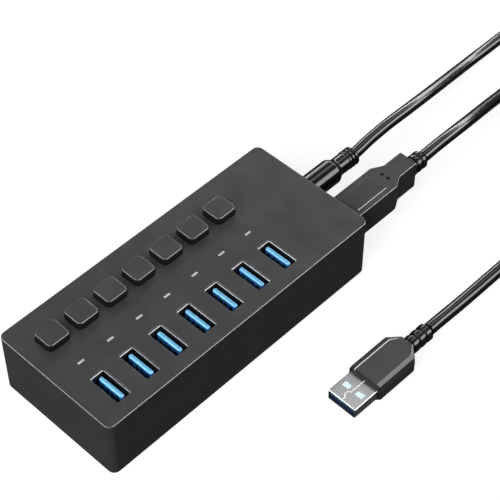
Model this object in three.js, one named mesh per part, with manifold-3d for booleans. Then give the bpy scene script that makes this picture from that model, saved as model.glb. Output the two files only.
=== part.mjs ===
// A powered seven-port desktop USB hub with its two cables plugged in.
//
// Millimetres, +Z up. The origin is on the surface that the hub stands on, under the middle of its
// case. +X runs along the case towards the cable end, and +Y towards the row of buttons.
import * as THREE from 'three';
import { mergeVertices } from 'three/addons/utils/BufferGeometryUtils.js';
import Module from 'manifold-3d';

const wasm = await Module();
wasm.setup();

// Case
const CASE_LENGTH = 121.0;
const CASE_WIDTH = 53.0;
const CASE_BOTTOM = 1.0;
const CASE_TOP = 26.2;
const CASE_CORNER = 2.6;
const CASE_EDGE_BREAK = 0.3;
const WALL = 2.0;
const COVER_BOTTOM = 1.2;
const COVER_TOP = 3.2;
const FIT_GAP = 0.15;
const REST_GAP = 0.1;
// How far one joined body reaches into another, and how far a cutter reaches past what it cuts.
const OVERLAP = 0.5;
const PAST = 1;

// Circuit board and the posts that carry it
const BOARD_BOTTOM = 7.6;
const BOARD_TOP = 9.2;
const BOARD_LENGTH = 115.2;
const BOARD_WIDTH = 47.8;
const BOARD_CORNER = 1.5;
const BOSS_CLEARANCE = 0.4;
const POST_RADIUS = 2.5;
const POST_PLACES = [[-40, -2], [0, -2], [40, -2], [-40, 21], [0, 21], [40, 21]];

// Screws, their bosses and the feet
const BOSS_RADIUS = 2.8;
const BOSS_COVER_GAP = 0.2;
const BOSS_PLACES = [[-54.9, -21.3], [-54.9, 21.3], [54.9, 21.3], [36.4, -21.3]];
const SCREW_SHANK_RADIUS = 1.2;
const SCREW_HEAD_RADIUS = 2.3;
const SCREW_HEAD_BOTTOM = 1.35;
const SCREW_HEAD_TOP = 2.5;
const SCREW_TIP = 11;
const SCREW_POINT_LENGTH = 0.8;
const SCREW_HEAD_CHAMFER = 0.3;
const SCREW_CROSS_DEPTH = 0.7;
const SCREW_CROSS_REACH = 1.4;
const SCREW_CROSS_HALF_WIDTH = 0.3;
const FOOT_RADIUS = 4.5;
const FOOT_HEIGHT = 1.1;
const FOOT_CHAMFER = 0.3;
const FOOT_PLACES = [[-48, -14], [-48, 14], [48, 14], [48, -14]];

// The row of seven channels: socket, indicator and button share one X place
const CHANNELS = 7;
const PITCH = 12.7;
const FIRST_CHANNEL_X = -48.6;
const SOCKET_Y = -14.2;
const INDICATOR_Y = -0.5;
const BUTTON_Y = 13.3;

// Downstream sockets, standing upright on the board
const SOCKET_WIDTH = 13.1;
const SOCKET_THICKNESS = 5.72;
const SOCKET_WALL = 0.3;
const SOCKET_CORNER = 0.55;
const SOCKET_TOP = 25.65;
const TONGUE_WIDTH = 11.0;
const TONGUE_THICKNESS = 1.84;
const TONGUE_OFFSET = 0.54;
const TONGUE_TOP = 25.2;
const TONGUE_BASE_TOP = 12.6;
const TONGUE_TIP_CHAMFER = 0.35;

// Buttons and their switches
const BUTTON_SIZE_X = 8.8;
const BUTTON_SIZE_Y = 8.6;
const BUTTON_CORNER = 1.6;
const BUTTON_TOP = 28.8;
const BUTTON_LIP = 0.5;
const BUTTON_FLANGE_BOTTOM = 22.8;
const BUTTON_GAP = 0.2;
const STEM_SIZE = 4.4;
const STEM_BOTTOM = 15.8;
const SWITCH_SIZE = 8.0;
const SWITCH_TOP = 17.4;
const SWITCH_POCKET_SIZE = 5.0;
const SWITCH_POCKET_BOTTOM = 13.5;

// Indicator light pipe: one moulded bar with a pillar under each window
const WINDOW_LENGTH = 2.8;
const WINDOW_WIDTH = 1.0;
const PIPE_BAR_WIDTH = 4.0;
const PIPE_BAR_BOTTOM = 19.0;
const PIPE_BAR_TOP = 21.0;
const PIPE_TOP = 26.1;
const PIPE_BAR_OVERHANG = 3;

// Hub controller chip
const CHIP = { x: 14, y: 3.5, size: 9, height: 1.2 };

// Upstream socket (type B, stacked) and the plug in it
const CONNECTOR_AXIS_Z = 15.8;
const DATA_Y = -14.0;
const DATA_JACK_START = 42.0;
const DATA_JACK_WIDTH = 12.1;
const DATA_JACK_HEIGHT = 12.6;
const DATA_JACK_BACK = 1;
const DATA_TONGUE = { halfWidth: 1.8, bottom: -2.2, top: 1.2, shortOfEnd: 2 };
const NOSE_WIDTH = 8.0;
const NOSE_HEIGHT = 7.2;
const NOSE_STEP_WIDTH = 5.4;
const NOSE_TOTAL_HEIGHT = 10.2;
const NOSE_WALL = 0.5;
const NOSE_START = 51.4;
const NOSE_GAP = 0.3;
const NOSE_CLEARANCE = 1;
const PLUG_GAP = 0.3;
const DATA_PLUG_WIDTH = 12.8;
const DATA_PLUG_HEIGHT = 12.5;
const DATA_PLUG_BODY_END = 83.0;
const DATA_PLUG_NECK_START = 87.4;
const DATA_PLUG_NECK_WIDTH = 7.9;
const DATA_PLUG_NECK_END = 96.7;
const DATA_RELIEF_RADIUS = 3.5;
const DATA_RELIEF_END = 104.8;
const RELIEF_ROOT = 2;
const RELIEF_GROOVE_DEPTH = 0.6;

// Power socket (5.5 mm barrel) and the plug in it
const POWER_Y = 5.1;
const POWER_JACK_START = 46.4;
const POWER_JACK_WIDTH = 9.0;
const POWER_JACK_ABOVE_AXIS = 5.0;
const POWER_JACK_NOSE_RADIUS = 4.2;
const BARREL_RADIUS = 2.75;
const BARREL_BORE_RADIUS = 1.25;
const BARREL_START = 50.8;
const BARREL_FLOOR = 1;
const POWER_BORE_RADIUS = 3.1;
const POWER_BORE_START = 50.3;
const POWER_PIN_RADIUS = 0.9;
const POWER_PIN_END = 58.6;
const POWER_GRIP_RADIUS = 4.85;
const POWER_GRIP_CHAMFER = { inward: 0.5, along: 0.5 };
const POWER_GRIP_END = 76.2;
const POWER_NECK_RADIUS = 3.5;
const POWER_NECK_START = 79.4;
const SHOULDER_STEPS = 4;
const POWER_RELIEF_START = 83.7;
const POWER_RELIEF_LEAD_IN = 0.3;
const POWER_RELIEF_RADIUS = 3.65;
const POWER_RELIEF_END = 88.7;

// Cords. Each lies in three stretches: lead, coil, tail. The points are those of the lead and tail.
const FLOOR_GAP = 0.1;
const DATA_CORD_DIAMETER = 4.7;
const DATA_TURN_PITCH = 4.9;
const DATA_COIL = { x: 187, y: -36, meanRadius: 23.5, turnsPerLayer: 2.75, layers: 2 };
const DATA_LEAD_POINTS = [
  [105.1, -14.0, 15.8], [108, -13.95, 15.75], [112, -13.7, 15.5], [120, -13.3, 14.8],
  [130, -12.4, 13.1], [140, -11.1, 10.8], [150, -9.6, 8.2], [160, -8.1, 5.4], [168.4, -6.7, 3.2],
];
const DATA_TAIL_POINTS = [
  [168.4, -66.0, 6.0], [160, -65.3, 4.3], [150, -64.4, 2.9], [135, -63.1, 2.5], [120, -62.2, 2.5],
  [105, -61.8, 2.5], [90, -61.6, 2.5], [75, -61.55, 2.6], [64, -61.7, 3.4], [57, -61.85, 4.2],
  [52.7, -61.9, 4.4],
];
const POWER_CORD_DIAMETER = 4.5;
const POWER_TURN_PITCH = 4.7;
const POWER_COIL = { x: 265, y: -16.8, meanRadius: 24.06, turnsPerLayer: 3.125, layers: 2 };
const POWER_LEAD_POINTS = [
  [89.0, 5.1, 15.8], [92.5, 5.35, 15.8], [96, 5.75, 15.8], [101, 6.15, 15.7], [110, 6.7, 15.3],
  [120, 7.3, 14.2],
  [130, 8.3, 12.5], [140, 9.6, 10.4], [150, 11.0, 8.2], [160, 12.4, 6.0], [170, 13.6, 4.1],
  [180, 14.3, 2.9], [190, 14.6, 2.4], [205, 14.6, 2.35], [225, 14.6, 2.35], [246.6, 14.6, 2.35],
];
const POWER_TAIL_POINTS = [
  [296.4, -35.2, 7.0], [296.4, -42, 7.1], [296.0, -52, 7.4], [293.5, -61.5, 7.9],
  [288, -69, 8.5], [282.5, -72.3, 8.9], [278.6, -73, 9],
];

// The plug for the computer (type A), lying on the surface and turned a little
const COMPUTER_PLUG = { x: 20.1, y: -61.5, turnDegrees: -0.7 };
const A_SHELL_WIDTH = 12.0;
const A_SHELL_THICKNESS = 4.5;
const A_SHELL_WALL = 0.3;
const A_SHELL_CORNER = 0.5;
const A_SHELL_LENGTH = 11.3;
const A_WINDOW_LENGTH = 2.1;
const A_WINDOW_WIDTH = 2.9;
const A_WINDOW_OFFSET = 2.85;
const A_WINDOW_FROM_TIP = 5.8;
const A_INSERT_SETBACK = 0.3;
const A_INSERT_HEIGHT = 1.9;
const A_GRIP_WIDTH = 14.2;
const A_GRIP_HEIGHT = 8.6;
const A_GRIP_CHAMFER = 2.3;
const A_GRIP_LENGTH = 17.2;
const A_GRIP_TAPER_END = 21.4;
const A_GRIP_END_WIDTH = 5.8;
const A_RELIEF_RADIUS = 3.2;
const A_RELIEF_END = 32.3;

// The mains adapter on the power cord
const ADAPTER = { x: 249, y: -73, length: 42, width: 38, height: 28, corner: 4 };
const ADAPTER_RELIEF_LENGTH = 8;
const ADAPTER_CORD_Z = 9;
const BLADE_LENGTH = 16;
const BLADE_HEIGHT = 6.35;
const BLADE_THICKNESS = 1.5;
const BLADE_SPACING = 12.7;
const BLADE_TIP = { along: 1.5, across: 1 };
const ADAPTER_EDGE = 1;

const COLOURS = {
  case: { color: 0x3f3f40, roughness: 0.55, metalness: 0 },
  cover: { color: 0x2a2a2b, roughness: 0.6, metalness: 0 },
  button: { color: 0x484849, roughness: 0.5, metalness: 0 },
  rubber: { color: 0x1c1c1d, roughness: 0.85, metalness: 0 },
  board: { color: 0x14532d, roughness: 0.5, metalness: 0 },
  chip: { color: 0x161617, roughness: 0.6, metalness: 0 },
  steel: { color: 0xc8cacc, roughness: 0.25, metalness: 1 },
  brass: { color: 0xb8973c, roughness: 0.3, metalness: 1 },
  tongue: { color: 0x2f7fe0, roughness: 0.35, metalness: 0 },
  insert: { color: 0x12305f, roughness: 0.4, metalness: 0 },
  window: { color: 0xb9bcbf, roughness: 0.4, metalness: 0 },
  plug: { color: 0x454547, roughness: 0.45, metalness: 0 },
  cord: { color: 0x18181a, roughness: 0.3, metalness: 0 },
};

const hub = new THREE.Group();

function addPart(name, geometry, look, group = hub) {
  geometry.computeVertexNormals();
  const mesh = new THREE.Mesh(geometry, new THREE.MeshStandardMaterial(look));
  mesh.name = name;
  group.add(mesh);
}

// The geometry with shared points joined, without empty triangles, and its faces pointing out.
function welded(geometry) {
  const bare = geometry.clone();
  bare.deleteAttribute('normal');
  bare.deleteAttribute('uv');
  const merged = mergeVertices(bare, 1e-4);
  const corners = merged.index.array;
  const places = merged.attributes.position;
  const kept = [];
  let volume = 0;
  const [a, b, c] = [new THREE.Vector3(), new THREE.Vector3(), new THREE.Vector3()];
  for (let i = 0; i < corners.length; i += 3) {
    const [p, q, r] = [corners[i], corners[i + 1], corners[i + 2]];
    if (p === q || q === r || r === p) continue;
    kept.push(p, q, r);
    a.fromBufferAttribute(places, p);
    b.fromBufferAttribute(places, q);
    c.fromBufferAttribute(places, r);
    volume += a.dot(b.cross(c));
  }
  if (volume < 0) kept.reverse();
  merged.setIndex(kept);
  return merged;
}

function solid(geometry) {
  const mesh = welded(geometry);
  return new wasm.Manifold(new wasm.Mesh({
    numProp: 3,
    vertProperties: new Float32Array(mesh.attributes.position.array),
    triVerts: new Uint32Array(mesh.index.array),
  }));
}

function geometryOf(body) {
  const mesh = body.getMesh();
  const geometry = new THREE.BufferGeometry();
  geometry.setAttribute('position', new THREE.BufferAttribute(mesh.vertProperties, 3));
  geometry.setIndex(new THREE.BufferAttribute(mesh.triVerts, 1));
  return geometry;
}

function joined(...geometries) {
  return geometries.map(solid).reduce((all, next) => all.add(next));
}

function cut(body, ...geometries) {
  return geometries.map(solid).reduce((all, next) => all.subtract(next), body);
}

function block(x0, x1, y0, y1, z0, z1) {
  const geometry = new THREE.BoxGeometry(x1 - x0, y1 - y0, z1 - z0);
  return geometry.translate((x0 + x1) / 2, (y0 + y1) / 2, (z0 + z1) / 2);
}

function roundedRectangle(width, height, radius) {
  const [x, y] = [width / 2, height / 2];
  const shape = new THREE.Shape();
  shape.absarc(x - radius, y - radius, radius, 0, Math.PI / 2);
  shape.absarc(-x + radius, y - radius, radius, Math.PI / 2, Math.PI);
  shape.absarc(-x + radius, -y + radius, radius, Math.PI, 1.5 * Math.PI);
  shape.absarc(x - radius, -y + radius, radius, 1.5 * Math.PI, 2 * Math.PI);
  return shape;
}

// An upright prism of a shape drawn in X and Y.
function upright(shape, z0, z1, segments = 4, edgeBreak = 0) {
  const geometry = new THREE.ExtrudeGeometry(shape, {
    depth: z1 - z0 - 2 * edgeBreak,
    curveSegments: segments,
    bevelEnabled: edgeBreak > 0,
    bevelSize: edgeBreak,
    bevelThickness: edgeBreak,
    bevelOffset: -edgeBreak,
    bevelSegments: 1,
  });
  return geometry.translate(0, 0, z0 + edgeBreak);
}

// A prism along X of a shape drawn in Y and Z.
function lengthwise(shape, x0, x1, segments = 4) {
  const geometry = upright(shape, x0, x1, segments);
  const turn = new THREE.Matrix4().makeBasis(
    new THREE.Vector3(0, 1, 0), new THREE.Vector3(0, 0, 1), new THREE.Vector3(1, 0, 0));
  return geometry.applyMatrix4(turn);
}

function polygon(points) {
  return new THREE.Shape(points.map(([x, y]) => new THREE.Vector2(x, y)));
}

// A turned body about an upright axis, from [radius, z] points.
function turnedUpright(profile, segments) {
  const points = profile.map(([radius, z]) => new THREE.Vector2(radius, z));
  return new THREE.LatheGeometry(points, segments).rotateX(Math.PI / 2);
}

// A turned body about an axis along X, from [radius, x] points.
function turnedLengthwise(profile, segments) {
  const points = profile.map(([radius, x]) => new THREE.Vector2(radius, x));
  return new THREE.LatheGeometry(points, segments).rotateZ(-Math.PI / 2);
}

function pin(radius, z0, z1, segments = 12) {
  return turnedUpright([[0, z0], [radius, z0], [radius, z1], [0, z1]], segments);
}

function pinLengthwise(radius, x0, x1, segments = 20) {
  return turnedLengthwise([[0, x0], [radius, x0], [radius, x1], [0, x1]], segments);
}

// The profile of a strain relief whose rings are parted by square grooves, from x0 to x1.
function ringedProfile(radius, x0, x1, rings) {
  const step = (x1 - x0) / (2 * rings + 1);
  const profile = [[radius, x0]];
  for (let ring = 0; ring < rings; ring += 1) {
    const grooveStart = x0 + (2 * ring + 1) * step;
    profile.push([radius, grooveStart], [radius - RELIEF_GROOVE_DEPTH, grooveStart]);
    profile.push([radius - RELIEF_GROOVE_DEPTH, grooveStart + step], [radius, grooveStart + step]);
  }
  profile.push([radius, x1], [0, x1]);
  return profile;
}

const channelX = (channel) => FIRST_CHANNEL_X + PITCH * channel;
const channels = Array.from({ length: CHANNELS }, (_, channel) => channel);

// Case: a deep top shell, open below, with a bottom cover let into it.
function topShell() {
  const outer = roundedRectangle(CASE_LENGTH, CASE_WIDTH, CASE_CORNER);
  const inner = roundedRectangle(CASE_LENGTH - 2 * WALL, CASE_WIDTH - 2 * WALL, CASE_CORNER - WALL);
  const skin = upright(outer, CASE_BOTTOM, CASE_TOP, 6, CASE_EDGE_BREAK);
  let body = cut(solid(skin), upright(inner, CASE_BOTTOM - PAST, CASE_TOP - WALL, 4));
  for (const [x, y] of BOSS_PLACES) {
    const boss = pin(BOSS_RADIUS, COVER_TOP + BOSS_COVER_GAP, CASE_TOP - WALL / 2);
    body = body.add(solid(boss.translate(x, y, 0)));
    body = cut(body, pin(SCREW_SHANK_RADIUS + FIT_GAP, COVER_BOTTOM, SCREW_TIP + PAST).translate(x, y, 0));
  }
  const [top, under] = [CASE_TOP + PAST, CASE_TOP - WALL - PAST];
  const socket = roundedRectangle(
    SOCKET_THICKNESS + 2 * FIT_GAP, SOCKET_WIDTH + 2 * FIT_GAP, SOCKET_CORNER + FIT_GAP);
  const button = roundedRectangle(
    BUTTON_SIZE_X + 2 * BUTTON_GAP, BUTTON_SIZE_Y + 2 * BUTTON_GAP, BUTTON_CORNER + BUTTON_GAP);
  for (const channel of channels) {
    const x = channelX(channel);
    body = cut(
      body,
      upright(socket, under, top, 2).translate(x, SOCKET_Y, 0),
      upright(button, under, top, 3).translate(x, BUTTON_Y, 0),
      block(
        x - WINDOW_LENGTH / 2, x + WINDOW_LENGTH / 2,
        INDICATOR_Y - WINDOW_WIDTH / 2, INDICATOR_Y + WINDOW_WIDTH / 2, under, top));
  }
  const endWall = CASE_LENGTH / 2;
  const halfOpening = DATA_JACK_WIDTH / 2 + FIT_GAP;
  const openingBottom = BOARD_TOP + REST_GAP - FIT_GAP;
  return cut(
    body,
    block(
      endWall - WALL - PAST, endWall + PAST, DATA_Y - halfOpening, DATA_Y + halfOpening,
      openingBottom, openingBottom + DATA_JACK_HEIGHT + 2 * FIT_GAP),
    pinLengthwise(POWER_JACK_NOSE_RADIUS + FIT_GAP, endWall - WALL - PAST, endWall + PAST)
      .translate(0, POWER_Y, CONNECTOR_AXIS_Z));
}

function bottomCover() {
  const gap = 2 * (WALL + FIT_GAP);
  const outline = roundedRectangle(CASE_LENGTH - gap, CASE_WIDTH - gap, CASE_CORNER - WALL - FIT_GAP);
  let body = solid(upright(outline, COVER_BOTTOM, COVER_TOP, 4));
  for (const [x, y] of POST_PLACES) {
    const post = pin(POST_RADIUS, COVER_TOP - OVERLAP, BOARD_BOTTOM - REST_GAP, 12);
    body = body.add(solid(post.translate(x, y, 0)));
  }
  for (const [x, y] of BOSS_PLACES) {
    body = cut(
      body,
      pin(SCREW_SHANK_RADIUS + FIT_GAP, 0, COVER_TOP + PAST).translate(x, y, 0),
      pin(SCREW_HEAD_RADIUS + FIT_GAP, 0, SCREW_HEAD_TOP + REST_GAP, 20).translate(x, y, 0));
  }
  return body;
}

function coverScrew(x, y) {
  const body = joined(
    turnedUpright([
      [0, SCREW_HEAD_BOTTOM], [SCREW_HEAD_RADIUS - SCREW_HEAD_CHAMFER, SCREW_HEAD_BOTTOM],
      [SCREW_HEAD_RADIUS, SCREW_HEAD_BOTTOM + SCREW_HEAD_CHAMFER], [SCREW_HEAD_RADIUS, SCREW_HEAD_TOP],
      [SCREW_SHANK_RADIUS, SCREW_HEAD_TOP], [SCREW_SHANK_RADIUS, SCREW_TIP - SCREW_POINT_LENGTH],
      [0, SCREW_TIP],
    ], 12));
  const [reach, half, recess] = [
    SCREW_CROSS_REACH, SCREW_CROSS_HALF_WIDTH, SCREW_HEAD_BOTTOM + SCREW_CROSS_DEPTH];
  const cross = cut(
    body,
    block(-reach, reach, -half, half, 0, recess),
    block(-half, half, -reach, reach, 0, recess));
  return geometryOf(cross).translate(x, y, 0);
}

function foot(x, y) {
  return welded(turnedUpright([
    [0, 0], [FOOT_RADIUS - FOOT_CHAMFER, 0], [FOOT_RADIUS, FOOT_CHAMFER], [FOOT_RADIUS, FOOT_HEIGHT],
    [0, FOOT_HEIGHT],
  ], 24)).translate(x, y, 0);
}

function circuitBoard() {
  const outline = roundedRectangle(BOARD_LENGTH, BOARD_WIDTH, BOARD_CORNER);
  const bossClearances = BOSS_PLACES.map(
    ([x, y]) => pin(BOSS_RADIUS + BOSS_CLEARANCE, BOARD_BOTTOM - PAST, BOARD_TOP + PAST, 20)
      .translate(x, y, 0));
  return cut(solid(upright(outline, BOARD_BOTTOM, BOARD_TOP, 2)), ...bossClearances);
}

addPart('top_shell', geometryOf(topShell()), COLOURS.case);
addPart('bottom_cover', geometryOf(bottomCover()), COLOURS.cover);
BOSS_PLACES.forEach(([x, y], i) => addPart(`cover_screw_${i + 1}`, coverScrew(x, y), COLOURS.steel));
FOOT_PLACES.forEach(([x, y], i) => addPart(`foot_${i + 1}`, foot(x, y), COLOURS.rubber));
addPart('circuit_board', geometryOf(circuitBoard()), COLOURS.board);
addPart(
  'hub_controller',
  block(
    CHIP.x - CHIP.size / 2, CHIP.x + CHIP.size / 2, CHIP.y - CHIP.size / 2, CHIP.y + CHIP.size / 2,
    BOARD_TOP + REST_GAP, BOARD_TOP + REST_GAP + CHIP.height),
  COLOURS.chip);

// Downstream sockets: a folded metal shell, open at both ends, round a tongue on its own base.
function socketShell() {
  const inside = 2 * SOCKET_WALL;
  const shape = roundedRectangle(SOCKET_THICKNESS, SOCKET_WIDTH, SOCKET_CORNER);
  shape.holes.push(roundedRectangle(
    SOCKET_THICKNESS - inside, SOCKET_WIDTH - inside, SOCKET_CORNER - SOCKET_WALL));
  return welded(upright(shape, BOARD_TOP + REST_GAP, SOCKET_TOP, 2));
}

function socketTongue() {
  const clear = 2 * (SOCKET_WALL + FIT_GAP);
  const [halfBase, halfBaseWidth] = [(SOCKET_THICKNESS - clear) / 2, (SOCKET_WIDTH - clear) / 2];
  const [low, high] = [TONGUE_OFFSET - TONGUE_THICKNESS / 2, TONGUE_OFFSET + TONGUE_THICKNESS / 2];
  const tip = TONGUE_TIP_CHAMFER;
  const profile = polygon([
    [-halfBase, BOARD_TOP + REST_GAP], [halfBase, BOARD_TOP + REST_GAP],
    [halfBase, TONGUE_BASE_TOP], [-halfBase, TONGUE_BASE_TOP],
  ]);
  const tongue = polygon([
    [low, TONGUE_BASE_TOP - OVERLAP], [high, TONGUE_BASE_TOP - OVERLAP], [high, TONGUE_TOP - tip],
    [high - tip, TONGUE_TOP], [low + tip, TONGUE_TOP], [low, TONGUE_TOP - tip],
  ]);
  const sideways = (shape, width) => upright(shape, -width / 2, width / 2).rotateX(Math.PI / 2);
  return geometryOf(joined(sideways(profile, 2 * halfBaseWidth), sideways(tongue, TONGUE_WIDTH)));
}

// Buttons: a keycap with a flange under the case and a stem that runs into its switch.
function buttonCap() {
  const outline = roundedRectangle(BUTTON_SIZE_X, BUTTON_SIZE_Y, BUTTON_CORNER);
  const flange = roundedRectangle(
    BUTTON_SIZE_X + 2 * BUTTON_LIP, BUTTON_SIZE_Y + 2 * BUTTON_LIP, BUTTON_CORNER);
  const [half, flangeTop] = [STEM_SIZE / 2, CASE_TOP - WALL - BUTTON_GAP];
  return geometryOf(joined(
    upright(outline, BUTTON_FLANGE_BOTTOM, BUTTON_TOP, 3, CASE_EDGE_BREAK),
    upright(flange, BUTTON_FLANGE_BOTTOM, flangeTop, 1),
    block(-half, half, -half, half, STEM_BOTTOM, BUTTON_FLANGE_BOTTOM + OVERLAP)));
}

function switchBody() {
  const [half, pocket] = [SWITCH_SIZE / 2, SWITCH_POCKET_SIZE / 2];
  return geometryOf(cut(
    solid(block(-half, half, -half, half, BOARD_TOP + REST_GAP, SWITCH_TOP)),
    block(-pocket, pocket, -pocket, pocket, SWITCH_POCKET_BOTTOM, SWITCH_TOP + PAST)));
}

for (const channel of channels) {
  const [x, number] = [channelX(channel), channel + 1];
  addPart(`port_shell_${number}`, socketShell().translate(x, SOCKET_Y, 0), COLOURS.steel);
  addPart(`port_tongue_${number}`, socketTongue().translate(x, SOCKET_Y, 0), COLOURS.tongue);
  addPart(`button_${number}`, buttonCap().translate(x, BUTTON_Y, 0), COLOURS.button);
  addPart(`switch_${number}`, switchBody().translate(x, BUTTON_Y, 0), COLOURS.chip);
}

// One light pipe serves all the indicators.
function lightPipe() {
  const [firstX, lastX] = [channelX(0), channelX(CHANNELS - 1)];
  const [halfLength, halfWidth] = [WINDOW_LENGTH / 2 - FIT_GAP, WINDOW_WIDTH / 2 - FIT_GAP];
  const bar = block(
    firstX - PIPE_BAR_OVERHANG, lastX + PIPE_BAR_OVERHANG,
    INDICATOR_Y - PIPE_BAR_WIDTH / 2, INDICATOR_Y + PIPE_BAR_WIDTH / 2,
    PIPE_BAR_BOTTOM, PIPE_BAR_TOP);
  const pillars = channels.map((channel) => block(
    channelX(channel) - halfLength, channelX(channel) + halfLength,
    INDICATOR_Y - halfWidth, INDICATOR_Y + halfWidth, PIPE_BAR_TOP - OVERLAP, PIPE_TOP));
  return geometryOf(joined(bar, ...pillars));
}

addPart('light_pipe', lightPipe(), COLOURS.window);

// The stepped outline of the type B connector, grown by a margin, about the middle of its wide part.
function steppedOutline(margin) {
  const [wide, step] = [NOSE_WIDTH / 2 + margin, NOSE_STEP_WIDTH / 2 + margin];
  const bottom = -NOSE_TOTAL_HEIGHT / 2 - margin;
  const shoulder = -NOSE_TOTAL_HEIGHT / 2 + NOSE_HEIGHT + margin;
  const top = NOSE_TOTAL_HEIGHT / 2 + margin;
  return [
    [-wide, bottom], [wide, bottom], [wide, shoulder], [step, shoulder], [step, top], [-step, top],
    [-step, shoulder], [-wide, shoulder],
  ];
}

function dataJackShell() {
  const halfWidth = DATA_JACK_WIDTH / 2;
  const bottom = BOARD_TOP + REST_GAP;
  const end = CASE_LENGTH / 2 - FIT_GAP;
  const outside = block(
    DATA_JACK_START, end, DATA_Y - halfWidth, DATA_Y + halfWidth, bottom, bottom + DATA_JACK_HEIGHT);
  const hole = lengthwise(
    polygon(steppedOutline(NOSE_GAP)), DATA_JACK_START + DATA_JACK_BACK, end + PAST);
  return geometryOf(cut(solid(outside), hole.translate(0, DATA_Y, CONNECTOR_AXIS_Z)));
}

// The tongue of the upstream socket, which reaches into the hollow of the plug's nose.
function dataJackInsert() {
  const base = polygon(steppedOutline(NOSE_GAP - FIT_GAP));
  const baseStart = DATA_JACK_START + DATA_JACK_BACK + FIT_GAP;
  const { halfWidth, bottom, top, shortOfEnd } = DATA_TONGUE;
  const baseEnd = NOSE_START - NOSE_CLEARANCE;
  const tongue = block(
    baseEnd - OVERLAP, CASE_LENGTH / 2 - shortOfEnd, -halfWidth, halfWidth, bottom, top);
  const body = joined(lengthwise(base, baseStart, baseEnd), tongue);
  return geometryOf(body).translate(0, DATA_Y, CONNECTOR_AXIS_Z);
}

addPart('upstream_jack_shell', dataJackShell(), COLOURS.steel);
addPart('upstream_jack_insert', dataJackInsert(), COLOURS.tongue);

function powerJack() {
  const [half, end] = [POWER_JACK_WIDTH / 2, CASE_LENGTH / 2 - FIT_GAP];
  const inner = CASE_LENGTH / 2 - WALL - FIT_GAP;
  const low = BOARD_TOP + REST_GAP - CONNECTOR_AXIS_Z;
  const shell = joined(
    block(POWER_JACK_START, inner, -half, half, low, POWER_JACK_ABOVE_AXIS),
    pinLengthwise(POWER_JACK_NOSE_RADIUS, inner - OVERLAP, end));
  const bored = cut(shell, pinLengthwise(POWER_BORE_RADIUS, POWER_BORE_START, end + PAST));
  const centrePin = pinLengthwise(POWER_PIN_RADIUS, POWER_BORE_START - OVERLAP, POWER_PIN_END, 12);
  return geometryOf(bored.add(solid(centrePin))).translate(0, POWER_Y, CONNECTOR_AXIS_Z);
}

addPart('power_jack', powerJack(), COLOURS.chip);

// The data cable's plug at the hub: a moulded grip that narrows to a ringed strain relief.
function dataPlug() {
  const start = CASE_LENGTH / 2 + PLUG_GAP;
  const [wide, narrow] = [DATA_PLUG_WIDTH / 2, DATA_PLUG_NECK_WIDTH / 2];
  const outline = polygon([
    [start, -wide], [DATA_PLUG_BODY_END, -wide], [DATA_PLUG_NECK_START, -narrow],
    [DATA_PLUG_NECK_END, -narrow], [DATA_PLUG_NECK_END, narrow], [DATA_PLUG_NECK_START, narrow],
    [DATA_PLUG_BODY_END, wide], [start, wide],
  ]);
  const half = DATA_PLUG_HEIGHT / 2;
  const relief = turnedLengthwise([
    [0, DATA_PLUG_NECK_END - RELIEF_ROOT],
    ...ringedProfile(DATA_RELIEF_RADIUS, DATA_PLUG_NECK_END - RELIEF_ROOT, DATA_RELIEF_END, 3),
  ], 16);
  const body = joined(upright(outline, -half, half, 4), relief);
  return geometryOf(body).translate(0, DATA_Y, CONNECTOR_AXIS_Z);
}

function dataPlugNose() {
  const shape = polygon(steppedOutline(0));
  shape.holes.push(polygon(steppedOutline(-NOSE_WALL)));
  const nose = lengthwise(shape, NOSE_START, CASE_LENGTH / 2 + PLUG_GAP - REST_GAP);
  return welded(nose).translate(0, DATA_Y, CONNECTOR_AXIS_Z);
}

// The power cable's plug at the hub: a bottle-shaped grip on a barrel.
function powerPlug() {
  const start = CASE_LENGTH / 2 + PLUG_GAP;
  const shoulder = POWER_NECK_START - POWER_GRIP_END;
  const { inward, along: chamferEnd } = POWER_GRIP_CHAMFER;
  const profile = [
    [0, start], [POWER_GRIP_RADIUS - inward, start], [POWER_GRIP_RADIUS, start + chamferEnd]];
  for (let i = 0; i <= SHOULDER_STEPS; i += 1) {
    const along = i / SHOULDER_STEPS;
    const drop = (1 - Math.cos(Math.PI * along)) / 2;
    const radius = POWER_GRIP_RADIUS - (POWER_GRIP_RADIUS - POWER_NECK_RADIUS) * drop;
    profile.push([radius, POWER_GRIP_END + shoulder * along]);
  }
  profile.push([POWER_NECK_RADIUS, POWER_RELIEF_START]);
  profile.push(...ringedProfile(
    POWER_RELIEF_RADIUS, POWER_RELIEF_START + POWER_RELIEF_LEAD_IN, POWER_RELIEF_END, 3));
  return welded(turnedLengthwise(profile, 16)).translate(0, POWER_Y, CONNECTOR_AXIS_Z);
}

function powerPlugBarrel() {
  const end = CASE_LENGTH / 2 + PLUG_GAP - REST_GAP;
  const profile = [
    [0, end - BARREL_FLOOR], [BARREL_BORE_RADIUS, end - BARREL_FLOOR], [BARREL_BORE_RADIUS, BARREL_START],
    [BARREL_RADIUS, BARREL_START], [BARREL_RADIUS, end], [0, end],
  ];
  return welded(turnedLengthwise(profile, 20)).translate(0, POWER_Y, CONNECTOR_AXIS_Z);
}

// Cords: an eight-sided tube for a lead or tail, and a plain ring for a coil.
function cordTube(points, diameter) {
  const path = new THREE.CatmullRomCurve3(points.map(([x, y, z]) => new THREE.Vector3(x, y, z)));
  const radius = diameter / 2;
  const corners = Array.from({ length: 8 }, (_, i) => {
    const angle = (i + 0.5) * Math.PI / 4;
    return [radius * Math.cos(angle), radius * Math.sin(angle)];
  });
  const steps = Math.ceil(path.getLength() / (2.5 * diameter));
  return welded(new THREE.ExtrudeGeometry(polygon(corners), { steps, extrudePath: path }));
}

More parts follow.
